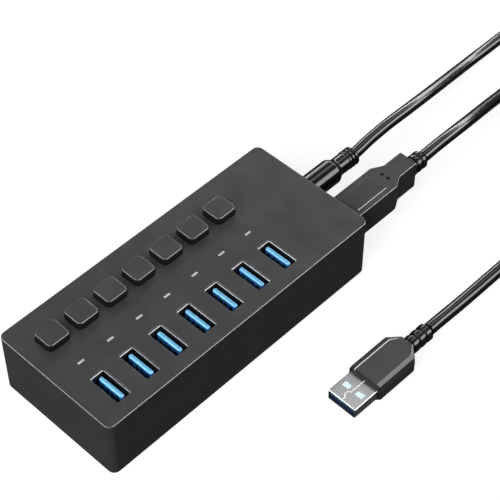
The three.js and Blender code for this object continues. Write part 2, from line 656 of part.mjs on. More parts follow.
function coilRing(coil, diameter, pitch) {
  const halfWidth = (coil.turnsPerLayer * pitch + diameter) / 2;
  const [inner, outer] = [coil.meanRadius - halfWidth, coil.meanRadius + halfWidth];
  const height = pitch * (coil.layers - 1) + diameter;
  const corner = diameter / 3;
  const profile = [
    [inner, corner], [inner + corner, 0], [outer - corner, 0], [outer, corner],
    [outer, height - corner], [outer - corner, height], [inner + corner, height],
    [inner, height - corner], [inner, corner],
  ];
  return welded(turnedUpright(profile, 30)).translate(coil.x, coil.y, FLOOR_GAP);
}

addPart('data_plug', dataPlug(), COLOURS.plug);
addPart('data_plug_nose', dataPlugNose(), COLOURS.steel);
addPart('data_cord_lead', cordTube(DATA_LEAD_POINTS, DATA_CORD_DIAMETER), COLOURS.cord);
addPart('data_cord_coil', coilRing(DATA_COIL, DATA_CORD_DIAMETER, DATA_TURN_PITCH), COLOURS.cord);
addPart('data_cord_tail', cordTube(DATA_TAIL_POINTS, DATA_CORD_DIAMETER), COLOURS.cord);
addPart('power_plug', powerPlug(), COLOURS.cord);
addPart('power_plug_barrel', powerPlugBarrel(), COLOURS.steel);
addPart('power_cord_lead', cordTube(POWER_LEAD_POINTS, POWER_CORD_DIAMETER), COLOURS.cord);
addPart('power_cord_coil', coilRing(POWER_COIL, POWER_CORD_DIAMETER, POWER_TURN_PITCH), COLOURS.cord);
addPart('power_cord_tail', cordTube(POWER_TAIL_POINTS, POWER_CORD_DIAMETER), COLOURS.cord);

// The computer plug is drawn with its grip's front face at X 0 and turned as one group.
const computerPlug = new THREE.Group();
computerPlug.position.set(COMPUTER_PLUG.x, COMPUTER_PLUG.y, FLOOR_GAP + A_GRIP_HEIGHT / 2);
computerPlug.rotation.z = THREE.MathUtils.degToRad(COMPUTER_PLUG.turnDegrees);
hub.add(computerPlug);

function computerPlugShell() {
  const inside = 2 * A_SHELL_WALL;
  const shape = roundedRectangle(A_SHELL_WIDTH, A_SHELL_THICKNESS, A_SHELL_CORNER);
  shape.holes.push(roundedRectangle(
    A_SHELL_WIDTH - inside, A_SHELL_THICKNESS - inside, A_SHELL_CORNER - A_SHELL_WALL));
  const tube = solid(lengthwise(shape, -A_SHELL_LENGTH, -REST_GAP, 2));
  const windowX = -A_SHELL_LENGTH + A_WINDOW_FROM_TIP;
  const windows = [-A_WINDOW_OFFSET, A_WINDOW_OFFSET].map((y) => block(
    windowX - A_WINDOW_LENGTH / 2, windowX + A_WINDOW_LENGTH / 2,
    y - A_WINDOW_WIDTH / 2, y + A_WINDOW_WIDTH / 2, -A_SHELL_THICKNESS, A_SHELL_THICKNESS));
  return geometryOf(cut(tube, ...windows));
}

function computerPlugInsert() {
  const halfWidth = A_SHELL_WIDTH / 2 - A_SHELL_WALL - FIT_GAP;
  const bottom = -A_SHELL_THICKNESS / 2 + A_SHELL_WALL + FIT_GAP;
  return block(
    -A_SHELL_LENGTH + A_INSERT_SETBACK, -FIT_GAP, -halfWidth, halfWidth, bottom, bottom + A_INSERT_HEIGHT);
}

function computerPlugGrip() {
  const [wide, half] = [A_GRIP_WIDTH / 2, A_GRIP_HEIGHT / 2];
  const flat = wide - A_GRIP_CHAMFER;
  const side = half - A_GRIP_CHAMFER;
  const section = polygon([
    [-flat, -half], [flat, -half], [wide, -side], [wide, side], [flat, half], [-flat, half],
    [-wide, side], [-wide, -side],
  ]);
  const tail = A_GRIP_END_WIDTH / 2;
  const outline = polygon([
    [0, -wide - PAST], [A_GRIP_LENGTH, -wide - PAST], [A_GRIP_LENGTH, -wide],
    [A_GRIP_TAPER_END, -tail], [A_GRIP_TAPER_END, tail], [A_GRIP_LENGTH, wide],
    [A_GRIP_LENGTH, wide + PAST], [0, wide + PAST],
  ]);
  const relief = turnedLengthwise([
    [0, A_GRIP_TAPER_END - RELIEF_ROOT],
    ...ringedProfile(A_RELIEF_RADIUS, A_GRIP_TAPER_END - RELIEF_ROOT, A_RELIEF_END, 2),
  ], 16);
  const grip = solid(lengthwise(section, 0, A_GRIP_TAPER_END));
  return geometryOf(grip.intersect(solid(upright(outline, -half - PAST, half + PAST))).add(solid(relief)));
}

addPart('computer_plug', computerPlugGrip(), COLOURS.plug, computerPlug);
addPart('computer_plug_shell', computerPlugShell(), COLOURS.steel, computerPlug);
addPart('computer_plug_insert', computerPlugInsert(), COLOURS.insert, computerPlug);

function adapterCase() {
  const half = ADAPTER.length / 2;
  const shape = roundedRectangle(ADAPTER.length, ADAPTER.width, ADAPTER.corner);
  const body = upright(shape, FLOOR_GAP, ADAPTER.height, 4, ADAPTER_EDGE).translate(ADAPTER.x, ADAPTER.y, 0);
  const reliefStart = ADAPTER.x + half - OVERLAP;
  const relief = turnedLengthwise([
    [0, reliefStart],
    ...ringedProfile(POWER_RELIEF_RADIUS, reliefStart, ADAPTER.x + half + ADAPTER_RELIEF_LENGTH, 3),
  ], 16).translate(0, ADAPTER.y, ADAPTER_CORD_Z);
  return geometryOf(joined(body, relief));
}

function adapterBlade(y) {
  const faceX = ADAPTER.x - ADAPTER.length / 2 - REST_GAP;
  const middle = ADAPTER.height / 2;
  const [low, high] = [middle - BLADE_HEIGHT / 2, middle + BLADE_HEIGHT / 2];
  const tip = faceX - BLADE_LENGTH;
  const { along, across } = BLADE_TIP;
  const side = polygon([
    [faceX, low], [faceX, high], [tip + along, high], [tip, high - across], [tip, low + across],
    [tip + along, low],
  ]);
  const blade = upright(side, -BLADE_THICKNESS / 2, BLADE_THICKNESS / 2).rotateX(Math.PI / 2);
  return welded(blade).translate(0, y, 0);
}

addPart('adapter', adapterCase(), COLOURS.cover);
addPart('adapter_blade_1', adapterBlade(ADAPTER.y - BLADE_SPACING / 2), COLOURS.brass);
addPart('adapter_blade_2', adapterBlade(ADAPTER.y + BLADE_SPACING / 2), COLOURS.brass);

export default hub;
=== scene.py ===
"""Looks of a powered seven-port USB hub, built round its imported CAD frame.

Lengths are in millimetres until a mesh is made, which puts them in metres. X runs along the case towards the
cable end, Y towards the row of buttons, and Z up.
"""

import math

import bmesh
import bpy
from mathutils import Matrix, Vector


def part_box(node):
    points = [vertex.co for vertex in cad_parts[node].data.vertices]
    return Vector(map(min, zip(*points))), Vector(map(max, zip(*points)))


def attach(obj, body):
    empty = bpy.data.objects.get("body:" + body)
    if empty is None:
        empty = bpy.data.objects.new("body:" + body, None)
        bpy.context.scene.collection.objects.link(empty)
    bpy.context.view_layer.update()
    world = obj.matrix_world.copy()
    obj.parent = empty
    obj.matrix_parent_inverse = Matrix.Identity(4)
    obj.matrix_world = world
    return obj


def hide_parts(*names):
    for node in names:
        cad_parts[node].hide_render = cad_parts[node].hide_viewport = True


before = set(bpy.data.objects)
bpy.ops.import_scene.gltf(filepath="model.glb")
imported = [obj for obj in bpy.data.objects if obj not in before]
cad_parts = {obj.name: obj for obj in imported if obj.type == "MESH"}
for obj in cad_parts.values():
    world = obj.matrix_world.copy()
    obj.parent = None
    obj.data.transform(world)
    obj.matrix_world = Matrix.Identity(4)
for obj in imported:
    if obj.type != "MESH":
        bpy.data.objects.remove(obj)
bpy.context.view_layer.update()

MM = 0.001
CHANNELS = range(1, 8)


def box_mm(node):
    """A CAD node's lowest and highest corners, in millimetres."""
    low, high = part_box(node)
    return low / MM, high / MM


def middle(node):
    """The middle of a CAD node's box, in millimetres."""
    low, high = box_mm(node)
    return (low + high) / 2


def added(name, data):
    """A new object in the scene."""
    thing = bpy.data.objects.new(name, data)
    bpy.context.scene.collection.objects.link(thing)
    return thing


# Camera

CAMERA_AZIMUTH, CAMERA_ELEVATION = math.radians(-45.96), math.radians(48.76)
CAMERA_TARGET = Vector((0.01889, -0.00997, 0.03203))
CAMERA_DISTANCE = 0.5323
SENSOR_WIDTH_MM, FOCAL_LENGTH_MM = 36, 115.28


def add_camera():
    """The camera, turned about the up axis by its azimuth and looking down by its elevation."""
    right = Vector((math.cos(CAMERA_AZIMUTH), math.sin(CAMERA_AZIMUTH), 0))
    level, rise = math.cos(CAMERA_ELEVATION), math.sin(CAMERA_ELEVATION)
    back = Vector((math.sin(CAMERA_AZIMUTH) * level, -math.cos(CAMERA_AZIMUTH) * level, rise))
    turn = Matrix((right, back.cross(right), back)).transposed().to_4x4()
    data = bpy.data.cameras.new("camera")
    data.sensor_width = SENSOR_WIDTH_MM
    data.lens = FOCAL_LENGTH_MM
    data.clip_start = 0.01
    camera = added("camera", data)
    camera.matrix_world = Matrix.Translation(CAMERA_TARGET + back * CAMERA_DISTANCE) @ turn
    bpy.context.scene.camera = camera


add_camera()


# Materials

CLOUD_MM = 9
GLOSS_PATCH_MM = 2.5
DRAWING_LINE_MM = 0.9
TRACK_MM = 2.2
COAT_ROUGHNESS = 0.12


class Nodes:
    """A material's node tree, with short calls for the nodes that every finish here uses."""

    def __init__(self, name):
        self.material = bpy.data.materials.new(name)
        self.material.use_nodes = True
        self.tree = self.material.node_tree
        self.shader = self.tree.nodes["Principled BSDF"]
        self.place = self.tree.nodes.new("ShaderNodeTexCoord").outputs["Object"]

    def noise(self, size_mm, detail=2.0, stretch=(1, 1, 1)):
        """Noise of about a size, fixed to the piece."""
        mapping = self.tree.nodes.new("ShaderNodeMapping")
        mapping.inputs["Scale"].default_value = stretch
        self.tree.links.new(self.place, mapping.inputs["Vector"])
        node = self.tree.nodes.new("ShaderNodeTexNoise")
        node.inputs["Scale"].default_value = 1 / (size_mm * MM)
        node.inputs["Detail"].default_value = detail
        self.tree.links.new(mapping.outputs["Vector"], node.inputs["Vector"])
        return node.outputs["Fac"]

    def between(self, factor, low, high, from_low=0.3, from_high=0.7):
        """A factor's usual range spread over another."""
        node = self.tree.nodes.new("ShaderNodeMapRange")
        node.inputs["From Min"].default_value = from_low
        node.inputs["From Max"].default_value = from_high
        node.inputs["To Min"].default_value = low
        node.inputs["To Max"].default_value = high
        self.tree.links.new(factor, node.inputs["Value"])
        return node.outputs["Result"]

    def blend(self, factor, first, second):
        """A colour between two, by a factor."""
        node = self.tree.nodes.new("ShaderNodeMix")
        node.data_type = "RGBA"
        node.inputs["A"].default_value = (*first, 1)
        node.inputs["B"].default_value = (*second, 1)
        self.tree.links.new(factor, node.inputs["Factor"])
        return node.outputs["Result"]

    def bump(self, height, depth_mm, strength=1.0):
        """Relief on the surface, from a factor."""
        node = self.tree.nodes.new("ShaderNodeBump")
        node.inputs["Strength"].default_value = strength
        node.inputs["Distance"].default_value = depth_mm * MM
        self.tree.links.new(height, node.inputs["Height"])
        self.tree.links.new(node.outputs["Normal"], self.shader.inputs["Normal"])

    def set(self, **values):
        for key, value in values.items():
            self.shader.inputs[key.replace("_", " ")].default_value = value

    def link(self, output, key):
        self.tree.links.new(output, self.shader.inputs[key])


def moulded(name, colour, roughness, grain_mm=0.35, depth_mm=0.006, specular=0.5):
    """Moulded plastic with a fine spark-eroded grain, and faint cloudiness in its gloss and colour."""
    n = Nodes(name)
    n.set(Specular_IOR_Level=specular)
    cloud = n.noise(CLOUD_MM, 3)
    lighter = tuple(min(1, c * 1.12 + 0.002) for c in colour)
    n.link(n.blend(n.between(cloud, 0, 1), colour, lighter), "Base Color")
    n.link(n.between(cloud, roughness - 0.02, roughness + 0.03), "Roughness")
    n.bump(n.noise(grain_mm, 4), depth_mm, 0.6)
    return n.material


def glossy(name, colour, roughness, ripple_mm=6.0, depth_mm=0.01, coat=0.0, specular=0.5):
    """Glossy vinyl or plastic, with a slow ripple and dust-fine variation in its gloss."""
    n = Nodes(name)
    n.set(Base_Color=(*colour, 1), Specular_IOR_Level=specular)
    n.set(Coat_Weight=coat, Coat_Roughness=COAT_ROUGHNESS)
    n.link(n.between(n.noise(GLOSS_PATCH_MM, 3), roughness - 0.03, roughness + 0.05), "Roughness")
    n.bump(n.noise(ripple_mm, 1), depth_mm, 0.4)
    return n.material


def metal(name, colour, roughness, brushed=(1, 1, 14)):
    """Plated sheet metal with faint drawing lines."""
    n = Nodes(name)
    n.set(Metallic=1.0)
    lines = n.noise(DRAWING_LINE_MM, 3, brushed)
    darker = tuple(c * 0.97 for c in colour)
    n.link(n.blend(n.between(lines, 0, 1), darker, colour), "Base Color")
    n.link(n.between(lines, roughness - 0.004, roughness + 0.004), "Roughness")
    n.bump(lines, 0.0001, 0.1)
    return n.material


def board_finish():
    """Green solder mask with copper tracks just showing under it."""
    n = Nodes("solder_mask")
    mask, mask_on_copper = (0.012, 0.085, 0.03), (0.02, 0.15, 0.05)
    tracks = n.noise(TRACK_MM, 0, (1, 4, 1))
    n.link(n.blend(n.between(tracks, 0, 1, 0.48, 0.52), mask, mask_on_copper), "Base Color")
    n.set(Roughness=0.32)
    n.bump(tracks, 0.02, 0.3)
    return n.material


# Each has a name, a linear colour and a roughness. Then come the size and depth of its grain or ripple in mm,
# coat and reflectance, or for a metal how its lines are stretched.
FINISH = {
    "case": moulded("case_plastic", (0.026, 0.026, 0.0265), 0.34),
    "cover": moulded("cover_plastic", (0.018, 0.018, 0.0185), 0.6, 0.5, 0.01),
    "button": moulded("button_plastic", (0.028, 0.028, 0.0285), 0.34, 0.3, 0.004),
    "plug_grip": moulded("plug_overmould", (0.031, 0.031, 0.032), 0.3, 0.3, 0.004),
    # A darker copy of the plug grip for its forward faces: painted shade.
    "grip_front_painted_shade": moulded("grip_front_painted_shade", (0.010, 0.010, 0.0102), 0.45, 0.3, 0.004),
    # Near-black sides for the keycaps: painted shade on their sides.
    "key_side_painted_shade": moulded("key_side_painted_shade", (0.0035, 0.0035, 0.0036), 0.55, 0.3, 0.004, 0.25),
    "adapter": moulded("adapter_plastic", (0.018, 0.018, 0.0185), 0.55),
    # Black resin for chips, switches and the power jack; in the plug's dimples it is painted shade.
    "chip": moulded("black_resin_and_painted_dimple_shade", (0.012, 0.012, 0.0125), 0.5),
    "foot_rubber": moulded("foot_rubber", (0.012, 0.012, 0.0125), 0.85, 0.6, 0.02),
    "cord": glossy("cord_vinyl", (0.006, 0.006, 0.0065), 0.13, 14.0, 0.003),
    # Glossy edges with a lighter colour than the case: the lighter colour is a painted highlight along
    # rounded edges.
    "edge_gloss_and_painted_highlight": glossy("glossy_edge_painted_highlight", (0.085, 0.085, 0.086), 0.2, 20.0, 0.001, 1.0, 0.9),
    "tongue_blue": glossy("tongue_blue", (0.028, 0.145, 0.42), 0.22, 3.0, 0.003, 1.0, 0.9),
    # A lighter blue for the tongue's top: a painted highlight.
    "tongue_top_painted_light": glossy("tongue_top_painted_light", (0.135, 0.47, 0.78), 0.22, 3.0, 0.003, 1.0, 0.9),
    # A glossy finish for the plug's upper side facets; its base, darker than the grip's, is painted shade.
    "facet": glossy("glossy_facet_painted_shade", (0.008, 0.008, 0.0082), 0.18, 20.0, 0.001, 1.0, 1.0),
    "insert_blue": glossy("insert_navy", (0.001, 0.009, 0.032), 0.35, 3.0, 0.004),
    # Near-white for the plug shell's seam: a painted highlight along the seam.
    "seam_painted_highlight": glossy("seam_painted_highlight", (0.95, 0.95, 0.95), 0.3, 2.0, 0.001),
    # Pale nylon for the pads in the plug's windows; on the plug shell's front lip it is a painted highlight.
    "pale_nylon_and_painted_lip_highlight": glossy("pale_nylon_and_painted_lip_highlight", (0.74, 0.92, 0.94), 0.35, 2.0, 0.004),
    "strap": moulded("strap_nylon", (0.014, 0.014, 0.0145), 0.85, 0.8, 0.08),
    "window": glossy("window_frosted", (0.52, 0.53, 0.55), 0.38, 1.0, 0.01),
    "shell_steel": metal("nickel_plate", (0.46, 0.465, 0.475), 0.33),
    "screw": metal("black_zinc", (0.10, 0.10, 0.105), 0.38, (1, 1, 1)),
    "brass": metal("blade_nickel", (0.74, 0.68, 0.55), 0.25, (14, 1, 1)),
    "gold": metal("contact_gold", (0.86, 0.62, 0.22), 0.28, (1, 1, 6)),
    "board": board_finish(),
    # Darker steel for the inward faces of each socket shell and for its springs: painted shade inside the
    # sockets.
    "shadowed_steel": metal("shell_inside_painted_shade", (0.12, 0.145, 0.17), 0.45),
}


# Meshes

SHARP_ANGLE = 32
AXIS_RADIUS = 0.01
GROOVE_DEPTH = 0.6
RIM_MARGIN = 1
SHARPEST_TURN = 0.3
NORMAL_WEIGHT = 80


def piece(name, parts, body, slot, finish=None, stands_for=(), sharp=SHARP_ANGLE):
    """One object from closed parts, each (points in millimetres, faces), riding on a body."""
    points, faces = [], []
    for part_points, part_faces in parts:
        faces += [[i + len(points) for i in face] for face in part_faces]
        points += [tuple(x * MM for x in p) for p in part_points]
    mesh = bpy.data.meshes.new(name)
    mesh.from_pydata(points, [], faces)
    outward(mesh)
    thing = added(name, mesh)
    mesh.materials.append(FINISH[finish or slot])
    smooth(thing, sharp)
    return enrol(thing, body, stands_for)


def enrol(thing, body, stands_for=()):
    """Puts a piece on its body and hides the CAD nodes that it stands for."""
    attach(thing, body)
    if stands_for:
        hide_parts(*stands_for)
    return thing


def outward(mesh):
    """Turns a closed mesh's faces outwards."""
    bm = bmesh.new()
    bm.from_mesh(mesh)
    bmesh.ops.recalc_face_normals(bm, faces=bm.faces)
    bm.to_mesh(mesh)
    bm.free()


def smooth(thing, sharp=SHARP_ANGLE):
    """Smooth shading that keeps flat faces flat and edges sharper than the angle, in degrees, crisp."""
    thing.data.shade_smooth()
    thing.data.set_sharp_from_angle(angle=math.radians(sharp))
    weighted = thing.modifiers.new("weighted", "WEIGHTED_NORMAL")
    weighted.keep_sharp = True
    weighted.weight = NORMAL_WEIGHT


def loft(rings, closed=False):
    """A skin over rings of points. The first and last are capped, or joined where closed."""
    count = len(rings[0])
    points = [p for ring in rings for p in ring]
    pairs = list(zip(range(len(rings)), range(1, len(rings))))
    if closed:
        pairs.append((len(rings) - 1, 0))
    faces = []
    for a, b in pairs:
        for i in range(count):
            j = (i + 1) % count
            faces.append([a * count + i, a * count + j, b * count + j, b * count + i])
    if not closed:
        faces.append(list(range(count))[::-1])
        faces.append([(len(rings) - 1) * count + i for i in range(count)])
    return points, faces


def rounded_polygon(corners, radius, steps=5):
    """A polygon with each corner as an arc. radius is one number, or one for each corner."""
    radii = radius if isinstance(radius, (list, tuple)) else [radius] * len(corners)
    outline = []
    for i, (x, y) in enumerate(corners):
        here = Vector((x, y))
        before = (Vector(corners[i - 1]) - here).normalized()
        after = (Vector(corners[(i + 1) % len(corners)]) - here).normalized()
        half = before.angle(after) / 2
        if radii[i] <= 0 or abs(half - math.pi / 2) < 1e-6:
            outline += [here.copy() for _ in range(steps + 1)] if radii[i] > 0 else [here]
            continue
        centre = here + (before + after).normalized() * (radii[i] / math.sin(half))
        start = here + before * (radii[i] / math.tan(half)) - centre
        end = here + after * (radii[i] / math.tan(half)) - centre
        turn = start.angle_signed(end)
        for step in range(steps + 1):
            outline.append(centre + Matrix.Rotation(-turn * step / steps, 2) @ start)
    return [(p.x, p.y) for p in outline]


def rounded_rectangle(width, height, radius, steps=6):
    """A rounded rectangle's outline round the origin, anticlockwise."""
    x, y = width / 2, height / 2
    return rounded_polygon([(-x, -y), (x, -y), (x, y), (-x, y)], radius, steps)


def inset(outline, distance):
    """An anticlockwise outline moved in by a distance."""
    shape = []
    for i, p in enumerate(outline):
        here = Vector(p)
        before, after = here - Vector(outline[i - 1]), Vector(outline[(i + 1) % len(outline)]) - here
        a = Vector((-before.y, before.x)).normalized()
        b = Vector((-after.y, after.x)).normalized()
        bisector = (a + b).normalized()
        shape.append(tuple(here + bisector * (distance / max(SHARPEST_TURN, bisector.dot(a)))))
    return shape


def upright(outline, z0, z1, bottom=0.0, top=0.0, steps=4):
    """Rings of an upright prism from z0 to z1, its lower and upper edges rounded by a radius."""
    rings = []
    for radius, edge, sign in ((bottom, z0, 1), (top, z1, -1)):
        stops = range(steps + 1) if radius > 0 else [steps]
        level = []
        for step in stops:
            angle = math.pi / 2 * step / steps
            shape = inset(outline, radius * (1 - math.sin(angle))) if radius > 0 and step < steps else outline
            z = edge + sign * radius * (1 - math.cos(angle))
            level.append([(x, y, z) for x, y in shape])
        rings += level if sign > 0 else level[::-1]
    return rings


def flared(outline, z0, z1, flare, steps=4):
    """Rings of a cutter whose top edge opens out, so that the hole it leaves has a rounded rim at z1."""
    rings = [[(x, y, z0) for x, y in outline]]
    for step in range(steps + 1):
        angle = math.pi / 2 * step / steps
        shape = inset(outline, -flare * (1 - math.cos(angle))) if step else outline
        rings.append([(x, y, z1 - flare + flare * math.sin(angle)) for x, y in shape])
    rings.append([(x, y, z1 + RIM_MARGIN) for x, y in inset(outline, -flare)])
    return rings


def moved(part, x=0.0, y=0.0, z=0.0):
    """A copy of a closed part somewhere else."""
    points, faces = part
    return [(a + x, b + y, c + z) for a, b, c in points], faces


def laid(rings):
    """Rings drawn upright, laid along X: their X, Y, Z become Y, Z, X."""
    return [[(z, x, y) for x, y, z in ring] for ring in rings]


def turned(profile, segments=48, axis="x"):
    """A turned solid from (radius, place along the axis) points whose ends are on the axis."""
    rings = []
    for radius, place in profile:
        ring = []
        reach = max(radius, AXIS_RADIUS)
        for i in range(segments):
            angle = 2 * math.pi * i / segments
            a, b = reach * math.cos(angle), reach * math.sin(angle)
            ring.append((place, a, b) if axis == "x" else (a, b, place))
        rings.append(ring)
    return loft(rings)


def carve(thing, cutters, finish=None):
    """Cuts closed parts out of an object, the cut faces taking a finish of their own where one is given."""
    for n, (points, faces) in enumerate(cutters):
        mesh = bpy.data.meshes.new("cutter")
        mesh.from_pydata([tuple(x * MM for x in p) for p in points], [], faces)
        outward(mesh)
        mesh.materials.append(FINISH[finish] if finish else thing.data.materials[0])
        cutter = added("cutter", mesh)
        cut = thing.modifiers.new("cut", "BOOLEAN")
        cut.operation, cut.object, cut.solver = "DIFFERENCE", cutter, "EXACT"
        cut.material_mode = "TRANSFER"
        thing.modifiers.move(len(thing.modifiers) - 1, n)
    weighted = thing.modifiers["weighted"]
    weighted.show_viewport = False
    bpy.context.view_layer.update()
    result = bpy.data.meshes.new_from_object(thing.evaluated_get(bpy.context.evaluated_depsgraph_get()))
    weighted.show_viewport = True
    thing.data = result
    for cut in [m for m in thing.modifiers if m.type == "BOOLEAN"]:
        cutter = cut.object
        thing.modifiers.remove(cut)
        bpy.data.objects.remove(cutter)
    result.shade_smooth()
    result.set_sharp_from_angle(angle=math.radians(SHARP_ANGLE))


def refinish(thing, finish, test):
    """Another finish on the faces that pass a test of their middle, in millimetres, and normal."""
    thing.data.materials.append(FINISH[finish])
    for face in thing.data.polygons:
        if test(face.center / MM, face.normal):
            face.material_index = len(thing.data.materials) - 1


def finish_edges_with_painted_highlight(thing, lowest_z, leans=(0.12, 0.97)):
    """The glossy edge finish, its lighter colour a painted highlight, on a rounded upper edge: above a
    height, and leaning between two limits.
    """
    refinish(thing, "edge_gloss_and_painted_highlight", lambda place, normal: place.z > lowest_z and leans[0] < normal.z < leans[1])


def ringed(radius, start, end, rings, groove=0.6, edge=0.35):
    """The profile of a strain relief: rounded rings with a groove after each, from start to end."""
    step = (end - start) / rings
    profile = []
    for ring in range(rings):
        low = start + ring * step
        high = low + step - groove
        profile += [(radius - GROOVE_DEPTH, low), (radius - edge, low)]
        for angle in (0.5, 1.0, 1.57):
            profile.append((radius - edge * (1 - math.sin(angle)), low + edge * (1 - math.cos(angle))))
        for angle in (0.0, 0.6, 1.1):
            profile.append((radius - edge * (1 - math.cos(angle)), high - edge * (1 - math.sin(angle))))
        profile += [(radius - edge, high), (radius - GROOVE_DEPTH, high)]
    return profile


# Cords

ROUTE_STEP = 0.0022
RISE_TURNS = 0.3


def smooth_line(points, spacing):
    """Points a given distance apart along a Catmull-Rom curve through the given points."""
    ends = [points[0] * 2 - points[1], *points, points[-1] * 2 - points[-2]]
    line = []
    for a, b, c, d in zip(ends, ends[1:], ends[2:], ends[3:]):
        count = max(1, round((c - b).length / spacing))
        bend, twist = 2 * a - 5 * b + 4 * c - d, 3 * b - a - 3 * c + d
        for i in range(count):
            t = i / count
            line.append(0.5 * (2 * b + (c - a) * t + bend * t**2 + twist * t**3))
    return [*line, points[-1].copy()]


def coil_turns(centre, mean_radius, turns, pitch, low_z, points_a_turn=16):
    """A two-layer coil, clockwise from its +Y side: inwards along the floor, then outwards on top."""
    outer = mean_radius + pitch * turns / 4
    total = round(turns * points_a_turn)
    points = []
    for i in range(total + 1):
        turn = turns * i / total
        radius = outer - pitch * min(turn, turns - turn)
        rise = min(1.0, max(0.0, (turn - turns / 2) / RISE_TURNS + 0.5))
        angle = math.pi / 2 - 2 * math.pi * turn
        x, y = centre[0] + radius * math.cos(angle), centre[1] + radius * math.sin(angle)
        points.append(Vector((x, y, low_z + pitch * rise * rise * (3 - 2 * rise))))
    return points


def cord_piece(name, route, diameter, body, stands_for):
    """A round cord along a route of points, and its length."""
    curve = bpy.data.curves.new(name, "CURVE")
    curve.dimensions = "3D"
    curve.bevel_depth = diameter / 2
    curve.bevel_resolution = 7
    curve.use_fill_caps = True
    line = smooth_line(route, ROUTE_STEP)
    spline = curve.splines.new("POLY")
    spline.points.add(len(line) - 1)
    for point, place in zip(spline.points, line):
        point.co = (*place, 1)
    spline.use_smooth = True
    curve.materials.append(FINISH["cord"])
    thing = added(name, curve)
    enrol(thing, body, stands_for)
    return thing, sum((b - a).length for a, b in zip(line, line[1:]))


# In metres. A coil is its centre, mean radius, turns, the pitch of its turns, and the cord's diameter.
FLOOR_GAP = 0.1 * MM
DATA_DIAMETER, POWER_DIAMETER = 4.7 * MM, 4.5 * MM
DATA_COIL = ((0.187, -0.036), 0.0235, 5.5, 4.9 * MM, DATA_DIAMETER)
POWER_COIL = ((0.265, -0.0168), 0.02406, 6.25, 4.7 * MM, POWER_DIAMETER)

DATA_LEAD = [
    (0.1051, -0.0140, 0.0158), (0.108, -0.01395, 0.01575), (0.112, -0.0137, 0.0155), (0.120, -0.0133, 0.0148),
    (0.130, -0.0124, 0.0131), (0.140, -0.0111, 0.0108), (0.150, -0.0096, 0.0082), (0.160, -0.0081, 0.0054),
    (0.1684, -0.0067, 0.0032),
]
DATA_TAIL = [
    (0.1684, -0.0660, 0.0060), (0.160, -0.0653, 0.0043), (0.150, -0.0644, 0.0029), (0.135, -0.0631, 0.0025),
    (0.120, -0.0622, 0.0025), (0.105, -0.0618, 0.0025), (0.090, -0.0616, 0.0025), (0.075, -0.06155, 0.0026),
    (0.064, -0.0617, 0.0034), (0.057, -0.06185, 0.0042), (0.0527, -0.0619, 0.0044),
]
POWER_LEAD = [
    (0.0890, 0.0051, 0.0158), (0.0925, 0.00535, 0.0158), (0.096, 0.00575, 0.0158), (0.101, 0.00615, 0.0157),
    (0.110, 0.0067, 0.0153), (0.120, 0.0073, 0.0142), (0.130, 0.0083, 0.0125), (0.140, 0.0096, 0.0104),
    (0.150, 0.0110, 0.0082), (0.160, 0.0124, 0.0060), (0.170, 0.0136, 0.0041), (0.180, 0.0143, 0.0029),
    (0.190, 0.0146, 0.0024), (0.205, 0.0146, 0.00235), (0.225, 0.0146, 0.00235), (0.2466, 0.0146, 0.00235),
]
POWER_TAIL = [
    (0.2964, -0.0352, 0.0070), (0.2964, -0.042, 0.0071), (0.2960, -0.052, 0.0074), (0.2935, -0.0615, 0.0079),
    (0.288, -0.069, 0.0085), (0.2825, -0.0723, 0.0089), (0.2786, -0.073, 0.009),
]


def whole_route(lead, coil, tail):
    """A cord's route from the case, round its coil and on to its far end."""
    *shape, diameter = coil
    return [*map(Vector, lead), *coil_turns(*shape, FLOOR_GAP + diameter / 2), *map(Vector, tail)]


data_cord, data_length = cord_piece(
    "data_cord",
    whole_route(DATA_LEAD, DATA_COIL, DATA_TAIL),
    DATA_DIAMETER,
    "data_cable",
    ["data_cord_lead", "data_cord_coil", "data_cord_tail"],
)
power_cord, power_length = cord_piece(
    "power_cord",
    whole_route(POWER_LEAD, POWER_COIL, POWER_TAIL),
    POWER_DIAMETER,
    "power_cable",
    ["power_cord_lead", "power_cord_coil", "power_cord_tail"],
)

# In millimetres again.
STRAP_SLACK, STRAP_SIDE, STRAP_TOP = 0.15, 0.9, 1.0
STRAP_FOOT, STRAP_BASE, STRAP_BEND = 0.01, 0.09, 2.0
STRAP_HALF_WIDTH, FLAP_THICKNESS = 4.5, 0.7
FLAP_SHORTER, FLAP_NARROWER, FLAP_OFF_CENTRE = 4.5, 0.4, -1.2
# How many turns a coil has made where it first passes its -X side.
FIRST_CROSSING = 0.75


